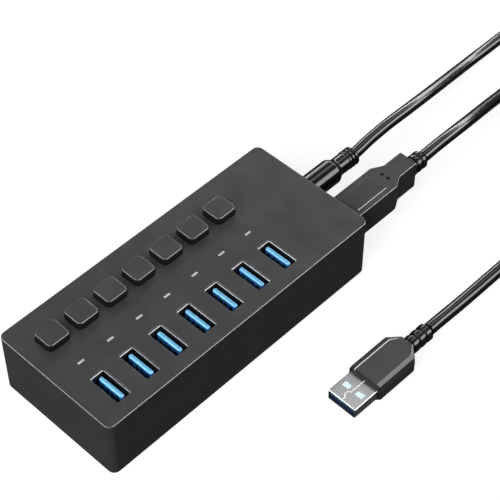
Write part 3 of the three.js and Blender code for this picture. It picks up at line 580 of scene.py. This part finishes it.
def coil_tie(name, coil, body):
    """A hook-and-loop strap round a coil's bundle, on its -X side, with its free end lying over the top."""
    (centre_x, centre_y), mean_radius, turns, pitch, diameter = coil
    outer = mean_radius + pitch * turns / 4
    crossings = [n + FIRST_CROSSING for n in range(math.ceil(turns - FIRST_CROSSING))]
    radii = [outer - pitch * min(turn, turns - turn) for turn in crossings]
    left = (centre_x - max(radii) - diameter / 2) / MM - STRAP_SLACK
    right = (centre_x - min(radii) + diameter / 2) / MM + STRAP_SLACK
    top = (FLOOR_GAP + pitch + diameter) / MM + STRAP_SLACK
    x, y, wide = (left + right) / 2, centre_y / MM, right - left
    inside = rounded_rectangle(wide, top - STRAP_BASE, STRAP_BEND, 6)
    tall = top + STRAP_TOP - STRAP_FOOT
    outside = rounded_rectangle(wide + 2 * STRAP_SIDE, tall, STRAP_BEND + 0.8, 6)
    outside = [(a, b + (top + STRAP_TOP + STRAP_FOOT) / 2) for a, b in outside]
    inside = [(a, b + (STRAP_BASE + top) / 2) for a, b in inside]
    edges = (outside, -1), (outside, 1), (inside, 1), (inside, -1)
    rings = [[(a + x, y + side * STRAP_HALF_WIDTH, b) for a, b in shape] for shape, side in edges]
    flap = rounded_rectangle(wide - FLAP_SHORTER, 2 * STRAP_HALF_WIDTH - FLAP_NARROWER, 1.6, 5)
    flap = loft(upright(flap, top + STRAP_TOP, top + STRAP_TOP + FLAP_THICKNESS, 0, 0.25))
    parts = [loft(rings, closed=True), moved(flap, x + FLAP_OFF_CENTRE, y)]
    piece(name, parts, body, "cord", "strap")


coil_tie("data_coil_tie", DATA_COIL, "data_cable")
coil_tie("power_coil_tie", POWER_COIL, "power_cable")


# Case

WALL = 2.0
PAST = 1
CASE_CORNER, CASE_TOP_EDGE, CASE_BOTTOM_EDGE = 2.6, 0.42, 0.15
SOCKET_CLEARANCE, SOCKET_HOLE_CORNER, SOCKET_HOLE_RIM = 0.12, 0.66, 0.12
KEY_WELL, KEY_WELL_CORNER, KEY_WELL_RIM = (9.16, 8.96), 1.8, 0.3
WINDOW, WINDOW_RIM = (2.8, 1.0, 0.2), 0.08
DATA_OPENING = (12.4, 12.9, 0.3)
POWER_OPENING_RADIUS, POWER_OPENING_START = 4.35, 56
BOSS_HOLE, BOSS_RADIUS, BOSS_BOTTOM, BOSS_TOP_GAP, BOSS_SIDES = 1.35, 2.8, 3.4, 0.02, 24


def case_top():
    """The deep top half: filleted outside, hollow, with every opening cut and its rim rounded."""
    low, high = box_mm("top_shell")
    length, width = high.x - low.x, high.y - low.y
    under_top = high.z - WALL - PAST
    outline = rounded_rectangle(length, width, CASE_CORNER, 12)
    skin = loft(upright(outline, low.z, high.z, CASE_BOTTOM_EDGE, CASE_TOP_EDGE))
    thing = piece("case_top", [skin], "hub", "case", None, ["top_shell"])
    hollow = rounded_rectangle(length - 2 * WALL, width - 2 * WALL, 0.6, 4)
    cutters = [loft(upright(hollow, low.z - PAST, high.z - WALL))]
    for channel in CHANNELS:
        socket, key = f"port_shell_{channel}", f"button_{channel}"
        small, large = box_mm(socket)
        size = (large - small).xy + Vector((2 * SOCKET_CLEARANCE, 2 * SOCKET_CLEARANCE))
        mouth = rounded_rectangle(size.x, size.y, SOCKET_HOLE_CORNER, 5)
        well = rounded_rectangle(*KEY_WELL, KEY_WELL_CORNER, 5)
        for node, hole, rim in ((socket, mouth, SOCKET_HOLE_RIM), (key, well, KEY_WELL_RIM)):
            centre = middle(node)
            cutters.append(moved(loft(flared(hole, under_top, high.z, rim)), centre.x, centre.y))
    window = loft(flared(rounded_rectangle(*WINDOW, 3), under_top, high.z, WINDOW_RIM, 2))
    for channel in CHANNELS:
        cutters.append(moved(window, middle(f"port_shell_{channel}").x, middle("light_pipe").y))
    jack, power = middle("upstream_jack_shell"), middle("power_plug")
    opening = laid(upright(rounded_rectangle(*DATA_OPENING, 3), high.x - WALL - PAST, high.x + PAST))
    cutters.append(moved(loft(opening), 0, jack.y, jack.z))
    start, end, radius = POWER_OPENING_START, high.x + PAST, POWER_OPENING_RADIUS
    bore = turned([(0, start), (radius, start), (radius, end), (0, end)])
    cutters.append(moved(bore, 0, power.y, power.z))
    carve(thing, cutters)
    finish_edges_with_painted_highlight(thing, high.z - 0.5)
    bosses = []
    circle = [2 * math.pi * k / BOSS_SIDES for k in range(BOSS_SIDES)]
    top = high.z - WALL - BOSS_TOP_GAP
    corners = ((BOSS_HOLE, BOSS_BOTTOM), (BOSS_RADIUS, BOSS_BOTTOM), (BOSS_RADIUS, top), (BOSS_HOLE, top))
    for number in range(1, 5):
        screw = middle(f"cover_screw_{number}")
        rings = [
            [(screw.x + radius * math.cos(a), screw.y + radius * math.sin(a), z) for a in circle]
            for radius, z in corners
        ]
        bosses.append(loft(rings, closed=True))
    piece("case_bosses", bosses, "hub", "case")


case_top()

KEY_SIZE, KEY_CORNER, KEY_EDGE = (8.8, 8.6), 1.6, 0.38
FLANGE_SIZE, FLANGE_TOP = (9.8, 9.6), 8.1
STEM_SIZE, STEM_TOP, KEY_BASE = 4.4, 7.05, 7.0


def buttons():
    """Keycaps with a rounded square top, a filleted edge, and a flange and stem below the case."""
    for channel in CHANNELS:
        low, high = box_mm(f"button_{channel}")
        x, y, _ = middle(f"button_{channel}")
        outline = rounded_rectangle(*KEY_SIZE, KEY_CORNER, 8)
        cap = loft(upright(outline, low.z + KEY_BASE, high.z, 0, KEY_EDGE, 5))
        skirt = rounded_rectangle(*FLANGE_SIZE, KEY_CORNER, 4)
        flange = loft(upright(skirt, low.z + STEM_TOP, low.z + FLANGE_TOP))
        stem = loft(upright(rounded_rectangle(STEM_SIZE, STEM_SIZE, 0.4, 3), low.z, low.z + STEM_TOP, 0.4))
        keycap = piece(
            f"keycap_{channel}",
            [moved(part, x, y) for part in (cap, flange, stem)],
            f"button_{channel}",
            "button",
            None,
            [f"button_{channel}"],
        )
        side_lean, flat_lean = 0.45, 0.98
        finish_edges_with_painted_highlight(keycap, high.z - 0.2, (side_lean, flat_lean))
        above_flange = low.z + FLANGE_TOP + 0.1
        # The keycap sides above the flange take the near-black finish, as painted shade.
        refinish(keycap, "key_side_painted_shade", lambda place, normal: place.z > above_flange and normal.z < side_lean)


buttons()


SHEET, SOCKET_CORNER = 0.3, 0.55
SOCKET_RIM = ((0, 0.02), (0.02, 0), (0.08, 0), (0.24, 0.16), (SHEET, 0.4))
SPRING_OFFSET, SPRING_HALF_WIDTH, SPRING_SHEET, SPRING_LEAN = 3.2, 1.0, 0.18, 0.42
SPRING_PROFILE = ((0, -2.2), (0.35, -4.4), (1.0, -6.2), (0.75, -8.0), (0, -9.5))


def socket_spring(side, offset, wall, top):
    """A contact spring on one side wall of a socket, bowed inwards by its profile of (reach, drop) points."""
    rings = []
    low, high = offset - SPRING_HALF_WIDTH, offset + SPRING_HALF_WIDTH
    for reach, drop in SPRING_PROFILE:
        face = side * wall - side * SPRING_LEAN * reach
        back = face - side * SPRING_SHEET
        rings.append([(a, b, top + drop) for a, b in ((face, low), (face, high), (back, high), (back, low))])
    return loft(rings)


def sockets():
    """Each socket's folded shell with its contact springs, and its tongue with four contacts in slots."""
    for channel in CHANNELS:
        node = f"port_shell_{channel}"
        low, high = box_mm(node)
        x, y, _ = middle(node)
        outer = rounded_rectangle(high.x - low.x, high.y - low.y, SOCKET_CORNER, 5)
        rings = [[(a, b, low.z) for a, b in outer]]
        for back, drop in SOCKET_RIM:
            rings.append([(a, b, high.z - drop) for a, b in (inset(outer, back) if back else outer)])
        rings += [[(a, b, low.z) for a, b in inset(outer, SHEET)]]
        tube = moved(loft(rings, closed=True), x, y)
        shell = piece(f"socket_shell_{channel}", [tube], "hub", "shell_steel", None, [node])
        centre = Vector((x, y))
        # The shell's inward-facing walls take the darker steel, as painted shade inside the socket.
        refinish(
            shell,
            "shadowed_steel",
            lambda place, normal: normal.xy.dot(centre - place.xy) > 0 and abs(normal.z) < 0.5,
        )
        wall = (high.x - low.x) / 2 - SHEET
        springs = [
            moved(socket_spring(side, offset, wall, high.z), x, y)
            for side in (-1, 1)
            for offset in (-SPRING_OFFSET, SPRING_OFFSET)
        ]
        # The springs take the darker steel too, as painted shade.
        piece(f"socket_springs_{channel}", springs, "hub", "shell_steel", "shadowed_steel")
        tongue(channel)


TONGUE_THICKNESS, TONGUE_WIDTH, TONGUE_OFFSET, TONGUE_FOOT = 1.84, 11.0, 0.54, 3.2
CONTACT_PLACES = (-3.5, -1.0, 1.0, 3.5)
SLOT_SIZE, SLOT_DROP = (0.9, 1.15), 1.35
CONTACT_SIZE, CONTACT_DROP, CONTACT_DEPTH, CONTACT_START = (0.22, 0.95), 1.6, 0.3, 4


def tongue(channel):
    """A socket's tongue on its base, with a slot and a contact for each line."""
    node = f"port_tongue_{channel}"
    low, high = box_mm(node)
    x, y, _ = middle(node)
    slab_x = x + TONGUE_OFFSET
    slab = rounded_rectangle(TONGUE_THICKNESS, TONGUE_WIDTH, 0.8, 7)
    slab = moved(loft(upright(slab, low.z + TONGUE_FOOT, high.z, 0, 0.72, 7)), slab_x, y)
    base = rounded_rectangle(high.x - low.x, high.y - low.y, 0.3, 3)
    base = moved(loft(upright(base, low.z, low.z + TONGUE_FOOT - 0.05)), x, y)
    thing = piece(f"socket_tongue_{channel}", [slab, base], "hub", "tongue_blue", None, [node])
    # The tongue's top takes the lighter blue, as a painted highlight.
    refinish(thing, "tongue_top_painted_light", lambda place, normal: place.z > high.z - 1.2 and normal.z > 0.5)
    face_x, start = slab_x - TONGUE_THICKNESS / 2, low.z + CONTACT_START
    slot = loft(upright(rounded_rectangle(*SLOT_SIZE, 0.1, 2), start, high.z - SLOT_DROP))
    contact = rounded_rectangle(*CONTACT_SIZE, 0.08, 2)
    contact = loft(upright(contact, start, high.z - CONTACT_DROP, 0, 0.1, 2))
    carve(thing, [moved(slot, face_x, y + place) for place in CONTACT_PLACES])
    contacts = [moved(contact, face_x + CONTACT_DEPTH, y + place) for place in CONTACT_PLACES]
    piece(f"socket_contacts_{channel}", contacts, "hub", "brass", "gold")


sockets()

PIPE_BAR_HEIGHT, PILLAR_SIZE, PILLAR_DOME = 2, (2.56, 0.78, 0.18), 0.12


def indicator_windows():
    """One light pipe: a bar under the case, with a softly domed pillar in each window."""
    low, high = box_mm("light_pipe")
    y = middle("light_pipe").y
    bar = rounded_rectangle(high.x - low.x, high.y - low.y, 0.6, 3)
    bar_top = low.z + PIPE_BAR_HEIGHT
    parts = [moved(loft(upright(bar, low.z, bar_top, 0.2, 0.2)), middle("light_pipe").x, y)]
    pillar = upright(rounded_rectangle(*PILLAR_SIZE, 4), bar_top + 0.02, high.z, 0, PILLAR_DOME, 3)
    for channel in CHANNELS:
        parts.append(moved(loft(pillar), middle(f"port_shell_{channel}").x, y))
    piece("indicator_light_pipe", parts, "hub", "window", None, ["light_pipe"])


indicator_windows()


# Plugs


PLUG_WIDE, PLUG_NARROW, PLUG_BOTTOM, PLUG_TOP = 6.4, 3.95, -6.25, 6.12
PLUG_SHOULDER, PLUG_NECK, PLUG_END = 83.0, 87.4, 96.7
PLUG_BENDS = [0.5, 1.2, 1.6, 0.3]
PANEL_START, PANEL_END, PANEL_HALF, PANEL_BEND = 64.2, 80.3, 4.2, 0.9
PANEL_STEPS = ((0, 6.0), (0, 6.14), (0.14, 6.27))
DIMPLE = ((0, 4.6), (0.45, 4.6), (0.72, 6.0), (0.78, 7), (0, 7))
DIMPLE_PLACE, DIMPLE_OFFSET = 83.7, 1.4
PANEL_EDGE_FROM, BLOCK_EDGE_FROM = 6.05, 5.8


def data_plug():
    """The overmoulded plug at the hub: a block with an inset panel, a narrowed neck and a ringed relief."""
    low, high = box_mm("data_plug")
    _, y, z = middle("data_plug")
    side = ((low.x, PLUG_WIDE), (PLUG_SHOULDER, PLUG_WIDE), (PLUG_NECK, PLUG_NARROW), (PLUG_END, PLUG_NARROW))
    corners = [(a, -b) for a, b in side] + list(reversed(side))
    outline = rounded_polygon(corners, PLUG_BENDS + PLUG_BENDS[::-1], 6)
    block = loft(upright(outline, PLUG_BOTTOM, PLUG_TOP, 0.7, 0.42, 5))
    half = PANEL_HALF
    panel = [(PANEL_START, -half), (PANEL_END, -half), (PANEL_END, half), (PANEL_START, half)]
    panel = rounded_polygon(panel, PANEL_BEND, 5)
    pad = loft([[(a, b, height) for a, b in inset(panel, back)] for back, height in PANEL_STEPS])
    thing = piece("data_plug_grip", [moved(block, 0, y, z)], "data_cable", "plug_grip", None, ["data_plug"])
    plate = piece("data_plug_panel", [moved(pad, 0, y, z)], "data_cable", "plug_grip")
    finish_edges_with_painted_highlight(plate, z + PANEL_EDGE_FROM)
    dimple = turned(DIMPLE, 20, "z")
    # The dimples' cut faces take the black resin finish, as painted shade in the recesses.
    carve(thing, [moved(dimple, DIMPLE_PLACE, y + off, z) for off in (-DIMPLE_OFFSET, DIMPLE_OFFSET)], "chip")
    finish_edges_with_painted_highlight(thing, z + BLOCK_EDGE_FROM)
    core, groove = 2.8, 0.8
    profile = [(0, PLUG_END - 0.4), (core, PLUG_END - 0.4)]
    profile += [*ringed(3.5, PLUG_END + 0.2, high.x, 3, groove, 0.45), (0, high.x - groove)]
    piece("data_plug_relief", [moved(turned(profile), 0, y, z)], "data_cable", "plug_grip", "cord")


data_plug()

POWER_GRIP, POWER_NECK, POWER_END_EDGE = 4.85, 3.5, 0.8
POWER_SHOULDER, POWER_NECK_START, POWER_NECK_END = 76.2, 79.4, 83.2
SHOULDER_STEPS = 16
QUARTER = (0, 0.4, 0.8, 1.2, 1.57)


def power_plug():
    """The bottle-shaped power plug and its ringed relief."""
    low, high = box_mm("power_plug")
    _, y, z = middle("power_plug")
    edge, groove = POWER_END_EDGE, 0.55
    profile = [(0, low.x)]
    profile += [(POWER_GRIP - edge + edge * math.sin(a), low.x + edge * (1 - math.cos(a))) for a in QUARTER]
    for i in range(SHOULDER_STEPS + 1):
        drop = (1 - math.cos(math.pi * i / SHOULDER_STEPS)) / 2
        place = POWER_SHOULDER + (POWER_NECK_START - POWER_SHOULDER) * i / SHOULDER_STEPS
        profile.append((POWER_GRIP - (POWER_GRIP - POWER_NECK) * drop, place))
    profile += [(POWER_NECK, POWER_NECK_END), (POWER_NECK - 0.1, POWER_NECK_END + 0.4)]
    profile += ringed(3.65, POWER_NECK_END + 0.5, high.x, 3, groove, 0.35)
    profile.append((0, high.x - groove))
    bottle = moved(turned(profile, 64), 0, y, z)
    piece("power_plug_grip", [bottle], "power_cable", "cord", None, ["power_plug"])


power_plug()

# The type A plug is drawn along X from where its shell meets its grip, then placed.
A_ORIGIN, A_SKEW_DEGREES = (20.1, -61.5, 4.4), -0.7
A_HALF_HEIGHT, A_HALF_WIDTH, A_TAIL = 4.3, 7.1, 2.9
A_RELIEF_START, A_RELIEF_END = 22.4, 32.3
A_SHELL_WIDTH, A_SHELL_HEIGHT, A_SHELL_BEND = 12.0, 4.5, 0.55
A_FRONT, A_BACK = -11.3, -0.1
A_WINDOW_PLACES, A_WINDOW_FROM_FRONT = (-2.85, 2.85), 5.8
A_WINDOW_SIZE, A_WINDOW_FIT, A_WINDOW_BEND = (2.1, 2.9), 0.01, 0.15
A_SEAM = ((-0.3, 0), (-6.8, 0), (-7.2, 0.9), (-9.1, 0.9), (-9.3, 0), (-11.6, 0))
A_SEAM_HALF_WIDTH, A_SEAM_LAP = 0.14, 0.1
A_CORE_LOW, A_CORE_HIGH, A_CORE_WIDTH = -1.8, 0.25, 11.1
A_CONTACT_SIZE, A_CONTACT_FROM_FRONT = (7.4, 1.0, 0.1), 5.2


def computer_plug():
    """The type A plug: a chamfered grip with a relief, a folded shell with windows and seam, its insert."""
    turn = Matrix.Translation(Vector(A_ORIGIN)) @ Matrix.Rotation(math.radians(A_SKEW_DEGREES), 4, "Z")

    def placed(part):
        points, faces = part
        return [tuple(turn @ Vector(p)) for p in points], faces

    half, wide, tail = A_HALF_HEIGHT, A_HALF_WIDTH, A_TAIL
    stations = [
        (0.0, wide - 0.25, half - 0.25, 0.6), (0.25, wide, half, 0.0), (16.9, wide, half, 0.0),
        (17.5, wide - 0.35, half, 0.0), (21.1, tail + 0.1, half, 0.0), (21.4, tail - 0.2, half - 0.3, 0.0),
    ]
    section = [
        (-4.8, -1, 0), (4.8, -1, 0), (wide, -1, 2.3), (wide, 1, 2.3), (6.35, 1, 0.25), (4.75, 1, 0),
        (4.5, 1, 0.2), (-4.5, 1, 0.2), (-4.75, 1, 0), (-6.35, 1, 0.25), (-wide, 1, 2.3), (-wide, -1, 2.3),
    ]
    rings = []
    for x, w, h, bulge in stations:
        share = w / wide
        outline = [(a * share, side * (h - drop * share)) for a, side, drop in section]
        outline = rounded_polygon(outline, 0.04, 2)
        rings.append([(x - bulge * (1 - (a / wide) ** 2), a, b) for a, b in outline])
    grip = placed(loft(rings))
    grip = piece("computer_plug_grip", [grip], "data_cable", "plug_grip", None, ["computer_plug"], 12)
    # The upper side facets take the glossy finish with the darker base, as painted shade.
    refinish(grip, "facet", lambda place, normal: place.z > 8.3 and 0.5 < normal.z < 0.996)
    # The grip's forward faces take the darker copy, as painted shade.
    refinish(grip, "grip_front_painted_shade", lambda place, normal: normal.x < -0.5)
    core = 2.7
    profile = [(0, 20.9), (core, 20.9), (core, 22.0)]
    profile += [*ringed(3.2, A_RELIEF_START, A_RELIEF_END, 3, 0.7, 0.5), (0, A_RELIEF_END - 0.9)]
    piece("computer_plug_relief", [placed(turned(profile))], "data_cable", "plug_grip", "cord")

    front, back = A_FRONT, A_BACK
    outer = rounded_rectangle(A_SHELL_WIDTH, A_SHELL_HEIGHT, A_SHELL_BEND, 5)
    edges = ((front, 0.24), (front + 0.3, 0), (back, 0), (back, SHEET), (front + 0.3, SHEET), (front, 0.28))
    skin = [[(x, a, b) for a, b in (inset(outer, step) if step else outer)] for x, step in edges]
    skin = placed(loft(skin, closed=True))
    shell = piece("computer_plug_casing", [skin], "data_cable", "shell_steel", None, ["computer_plug_shell"])
    window_x = front + A_WINDOW_FROM_FRONT
    window = loft(upright(rounded_rectangle(*A_WINDOW_SIZE, A_WINDOW_BEND, 3), -3, 3))
    windows = [placed(moved(window, window_x, off)) for off in A_WINDOW_PLACES]
    joins = []
    for (x0, y0), (x1, y1) in zip(A_SEAM, A_SEAM[1:]):
        along = Vector((x1 - x0, y1 - y0)).normalized()
        side = Vector((-along.y, along.x)) * A_SEAM_HALF_WIDTH
        start, end = Vector((x0, y0)) - along * A_SEAM_LAP, Vector((x1, y1)) + along * A_SEAM_LAP
        strip = [start - side, end - side, end + side, start + side]
        joins.append(placed(loft([[(p.x, p.y, z) for p in strip] for z in (2.2, 2.6)])))
    # The shell's front lip, facing forwards and up, takes the pale finish as a painted highlight.
    refinish(shell, "pale_nylon_and_painted_lip_highlight", lambda place, normal: normal.x < -0.4 and normal.z > 0.4)
    carve(shell, windows)
    # The seam's cut faces take the near-white finish, as a painted highlight.
    carve(shell, joins, "seam_painted_highlight")
    pad = [side - A_WINDOW_FIT for side in A_WINDOW_SIZE]
    pad = loft(upright(rounded_rectangle(*pad, A_WINDOW_BEND, 3), 1.2, 2.22, 0, 0.1))
    pads = [placed(moved(pad, window_x, off)) for off in A_WINDOW_PLACES]
    piece("computer_plug_pads", pads, "data_cable", "insert_blue", "pale_nylon_and_painted_lip_highlight")

    block = rounded_rectangle(A_CORE_WIDTH, A_CORE_HIGH - A_CORE_LOW, 0.2, 3)
    rings = [[(front + 0.3, a, b) for a, b in inset(block, 0.15)], [(front + 0.5, a, b) for a, b in block]]
    rings += [[(-0.15, a, b) for a, b in block]]
    insert = placed(moved(loft(rings), 0, 0, (A_CORE_LOW + A_CORE_HIGH) / 2))
    piece("computer_plug_core", [insert], "data_cable", "insert_blue", None, ["computer_plug_insert"])
    contact = loft(upright(rounded_rectangle(*A_CONTACT_SIZE, 2), A_CORE_HIGH - 0.05, A_CORE_HIGH + 0.06))
    contacts = [placed(moved(contact, front + A_CONTACT_FROM_FRONT, off)) for off in CONTACT_PLACES]
    piece("computer_plug_contacts", contacts, "data_cable", "brass", "gold")


computer_plug()

ADAPTER_LENGTH, ADAPTER_BEND, ADAPTER_EDGE = 42, 4, 1.2
GROOVE_SHARE, GROOVE_HALF, GROOVE_LIP, GROOVE_INSET = 0.52, 0.2, 0.05, 0.3
ADAPTER_RELIEF_Z = 9
BLADE_BENDS, BLADE_FLAT, BLADE_HOLE, BLADE_HOLE_PLACE = [1.4, 0.1, 0.1, 1.4], 0.2, 1.5, 3.2


def adapter():
    """The mains adapter: a filleted block with a parting groove, a relief and two holed blades."""
    low, high = box_mm("adapter")
    y = middle("adapter").y
    x0, x1 = low.x, low.x + ADAPTER_LENGTH
    outline = rounded_rectangle(ADAPTER_LENGTH, high.y - low.y, ADAPTER_BEND, 10)
    outline = [(a + (x0 + x1) / 2, b + y) for a, b in outline]
    part, lip = high.z * GROOVE_SHARE, GROOVE_HALF + GROOVE_LIP
    rings = upright(outline, low.z, part - lip, ADAPTER_EDGE, 0.12)
    groove = inset(outline, GROOVE_INSET)
    rings += [[(a, b, part + side * GROOVE_HALF) for a, b in groove] for side in (-1, 1)]
    rings += upright(outline, part + lip, high.z, 0.12, ADAPTER_EDGE)
    piece("adapter_case", [loft(rings)], "power_cable", "adapter", None, ["adapter"])
    profile = [(0, x1 - 0.5), (3.0, x1 - 0.5), *ringed(3.55, x1 + 0.2, high.x, 4, 0.6), (0, high.x - 0.6)]
    relief = moved(turned(profile), 0, y, ADAPTER_RELIEF_Z)
    piece("adapter_relief", [relief], "power_cable", "adapter", "cord")
    for number in (1, 2):
        node = f"adapter_blade_{number}"
        small, large = box_mm(node)
        _, across, z = middle(node)
        tall = (large.z - small.z) / 2
        corners = [(small.x, -tall), (large.x, -tall), (large.x, tall), (small.x, tall)]
        side = rounded_polygon(corners, BLADE_BENDS, 5)
        flat = inset(side, BLADE_FLAT)
        steps = ((flat, small.y), (side, small.y + 0.35), (side, large.y - 0.35), (flat, large.y))
        rings = [[(a, place, b) for a, b in shape] for shape, place in steps]
        blade = piece(f"blade_{number}", [moved(loft(rings), 0, 0, z)], "power_cable", "brass", None, [node])
        points, faces = turned([(0, -9), (BLADE_HOLE, -9), (BLADE_HOLE, 9), (0, 9)], 24, "z")
        hole = [(a + small.x + BLADE_HOLE_PLACE, c + across, b + z) for a, b, c in points]
        carve(blade, [(hole, faces)])


adapter()


# The CAD nodes that stay as they are get their finishes

KEPT = {
    "bottom_cover": "cover",
    "circuit_board": "board",
    "hub_controller": "chip",
    "upstream_jack_shell": "shell_steel",
    "upstream_jack_insert": "tongue_blue",
    "power_jack": "chip",
    "data_plug_nose": "shell_steel",
    "power_plug_barrel": "shell_steel",
}
KEPT.update({f"cover_screw_{n}": "screw" for n in range(1, 5)})
KEPT.update({f"foot_{n}": "foot_rubber" for n in range(1, 5)})
KEPT.update({f"switch_{n}": "chip" for n in CHANNELS})
for node, finish in KEPT.items():
    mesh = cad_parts[node].data
    mesh.materials.clear()
    mesh.materials.append(FINISH[finish])


# Studio


FLOOR_SIDE, FLOOR_GREY, FLOOR_GLOW = 6.0, 0.22, 0.86
LIT_SPOT = (0.03, -0.01, 0.01)


def add_floor():
    """A matt floor that glows enough to look white, but neither lights the part nor is mirrored in it."""
    mesh = bpy.data.meshes.new("floor")
    corners = ((-1, -1), (1, -1), (1, 1), (-1, 1))
    mesh.from_pydata([(x * FLOOR_SIDE, y * FLOOR_SIDE, 0) for x, y in corners], [], [(0, 1, 2, 3)])
    floor = added("floor", mesh)
    material = bpy.data.materials.new("floor_white")
    material.use_nodes = True
    shader = material.node_tree.nodes["Principled BSDF"]
    shader.inputs["Base Color"].default_value = (FLOOR_GREY, FLOOR_GREY, FLOOR_GREY, 1)
    shader.inputs["Roughness"].default_value = 0.9
    shader.inputs["Specular IOR Level"].default_value = 0.0
    shader.inputs["Emission Color"].default_value = (1, 1, 1, 1)
    shader.inputs["Emission Strength"].default_value = FLOOR_GLOW
    mesh.materials.append(material)
    floor.visible_diffuse = False
    floor.visible_glossy = False


def softbox(name, direction, distance, size, power, along, diffuse=True, glossy=True):
    """A rectangular area light aimed at the hub, with its long side along a given axis."""
    data = bpy.data.lights.new(name, "AREA")
    data.shape = "RECTANGLE"
    data.size, data.size_y = size
    data.energy = power
    light = added(name, data)
    towards = Vector(direction).normalized()
    level = Vector(along)
    level = (level - towards * level.dot(towards)).normalized()
    turn = Matrix((level, towards.cross(level), towards)).transposed().to_4x4()
    light.matrix_world = Matrix.Translation(Vector(LIT_SPOT) + towards * distance) @ turn
    light.visible_diffuse = diffuse
    light.visible_glossy = glossy
    light.visible_camera = False


def add_world(above, below):
    """Even light from above the horizon and much less from below it."""
    world = bpy.data.worlds.new("studio")
    bpy.context.scene.world = world
    world.use_nodes = True
    tree = world.node_tree
    place = tree.nodes.new("ShaderNodeTexCoord")
    split = tree.nodes.new("ShaderNodeSeparateXYZ")
    level = tree.nodes.new("ShaderNodeMapRange")
    level.inputs["From Min"].default_value = -0.15
    level.inputs["From Max"].default_value = 0.25
    level.inputs["To Min"].default_value = below
    level.inputs["To Max"].default_value = above
    tree.links.new(place.outputs["Generated"], split.inputs["Vector"])
    tree.links.new(split.outputs["Z"], level.inputs["Value"])
    tree.links.new(level.outputs["Result"], tree.nodes["Background"].inputs["Strength"])
    tree.nodes["Background"].inputs["Color"].default_value = (1, 1, 1, 1)


def add_lights():
    """A key light without reflections, strips that only reflections show, and even light all round."""
    x_axis, y_axis = (1, 0, 0), (0, 1, 0)
    softbox("key", (-0.78, -0.2, 0.59), 1.4, (0.9, 0.9), 29, x_axis, glossy=False)
    softbox("sheen", (0.474, 0.138, 0.87), 1.3, (1.8, 0.38), 3.8, x_axis, diffuse=False)
    softbox("strip_back", (0.474, 0.73, 0.49), 1.3, (2.0, 0.13), 5, x_axis, diffuse=False)
    softbox("strip_front", (0.474, -0.70, 0.54), 1.3, (2.0, 0.65), 27, x_axis, diffuse=False)
    softbox("strip_left", (-0.752, 0.458, 0.474), 1.3, (1.8, 0.4), 14, y_axis, diffuse=False)
    softbox("strip_right", (0.80, 0.458, 0.39), 1.3, (1.8, 0.16), 8, y_axis, diffuse=False)
    add_world(0.2, 0.06)
    bpy.context.scene.view_settings.view_transform = "Standard"


add_floor()
add_lights()
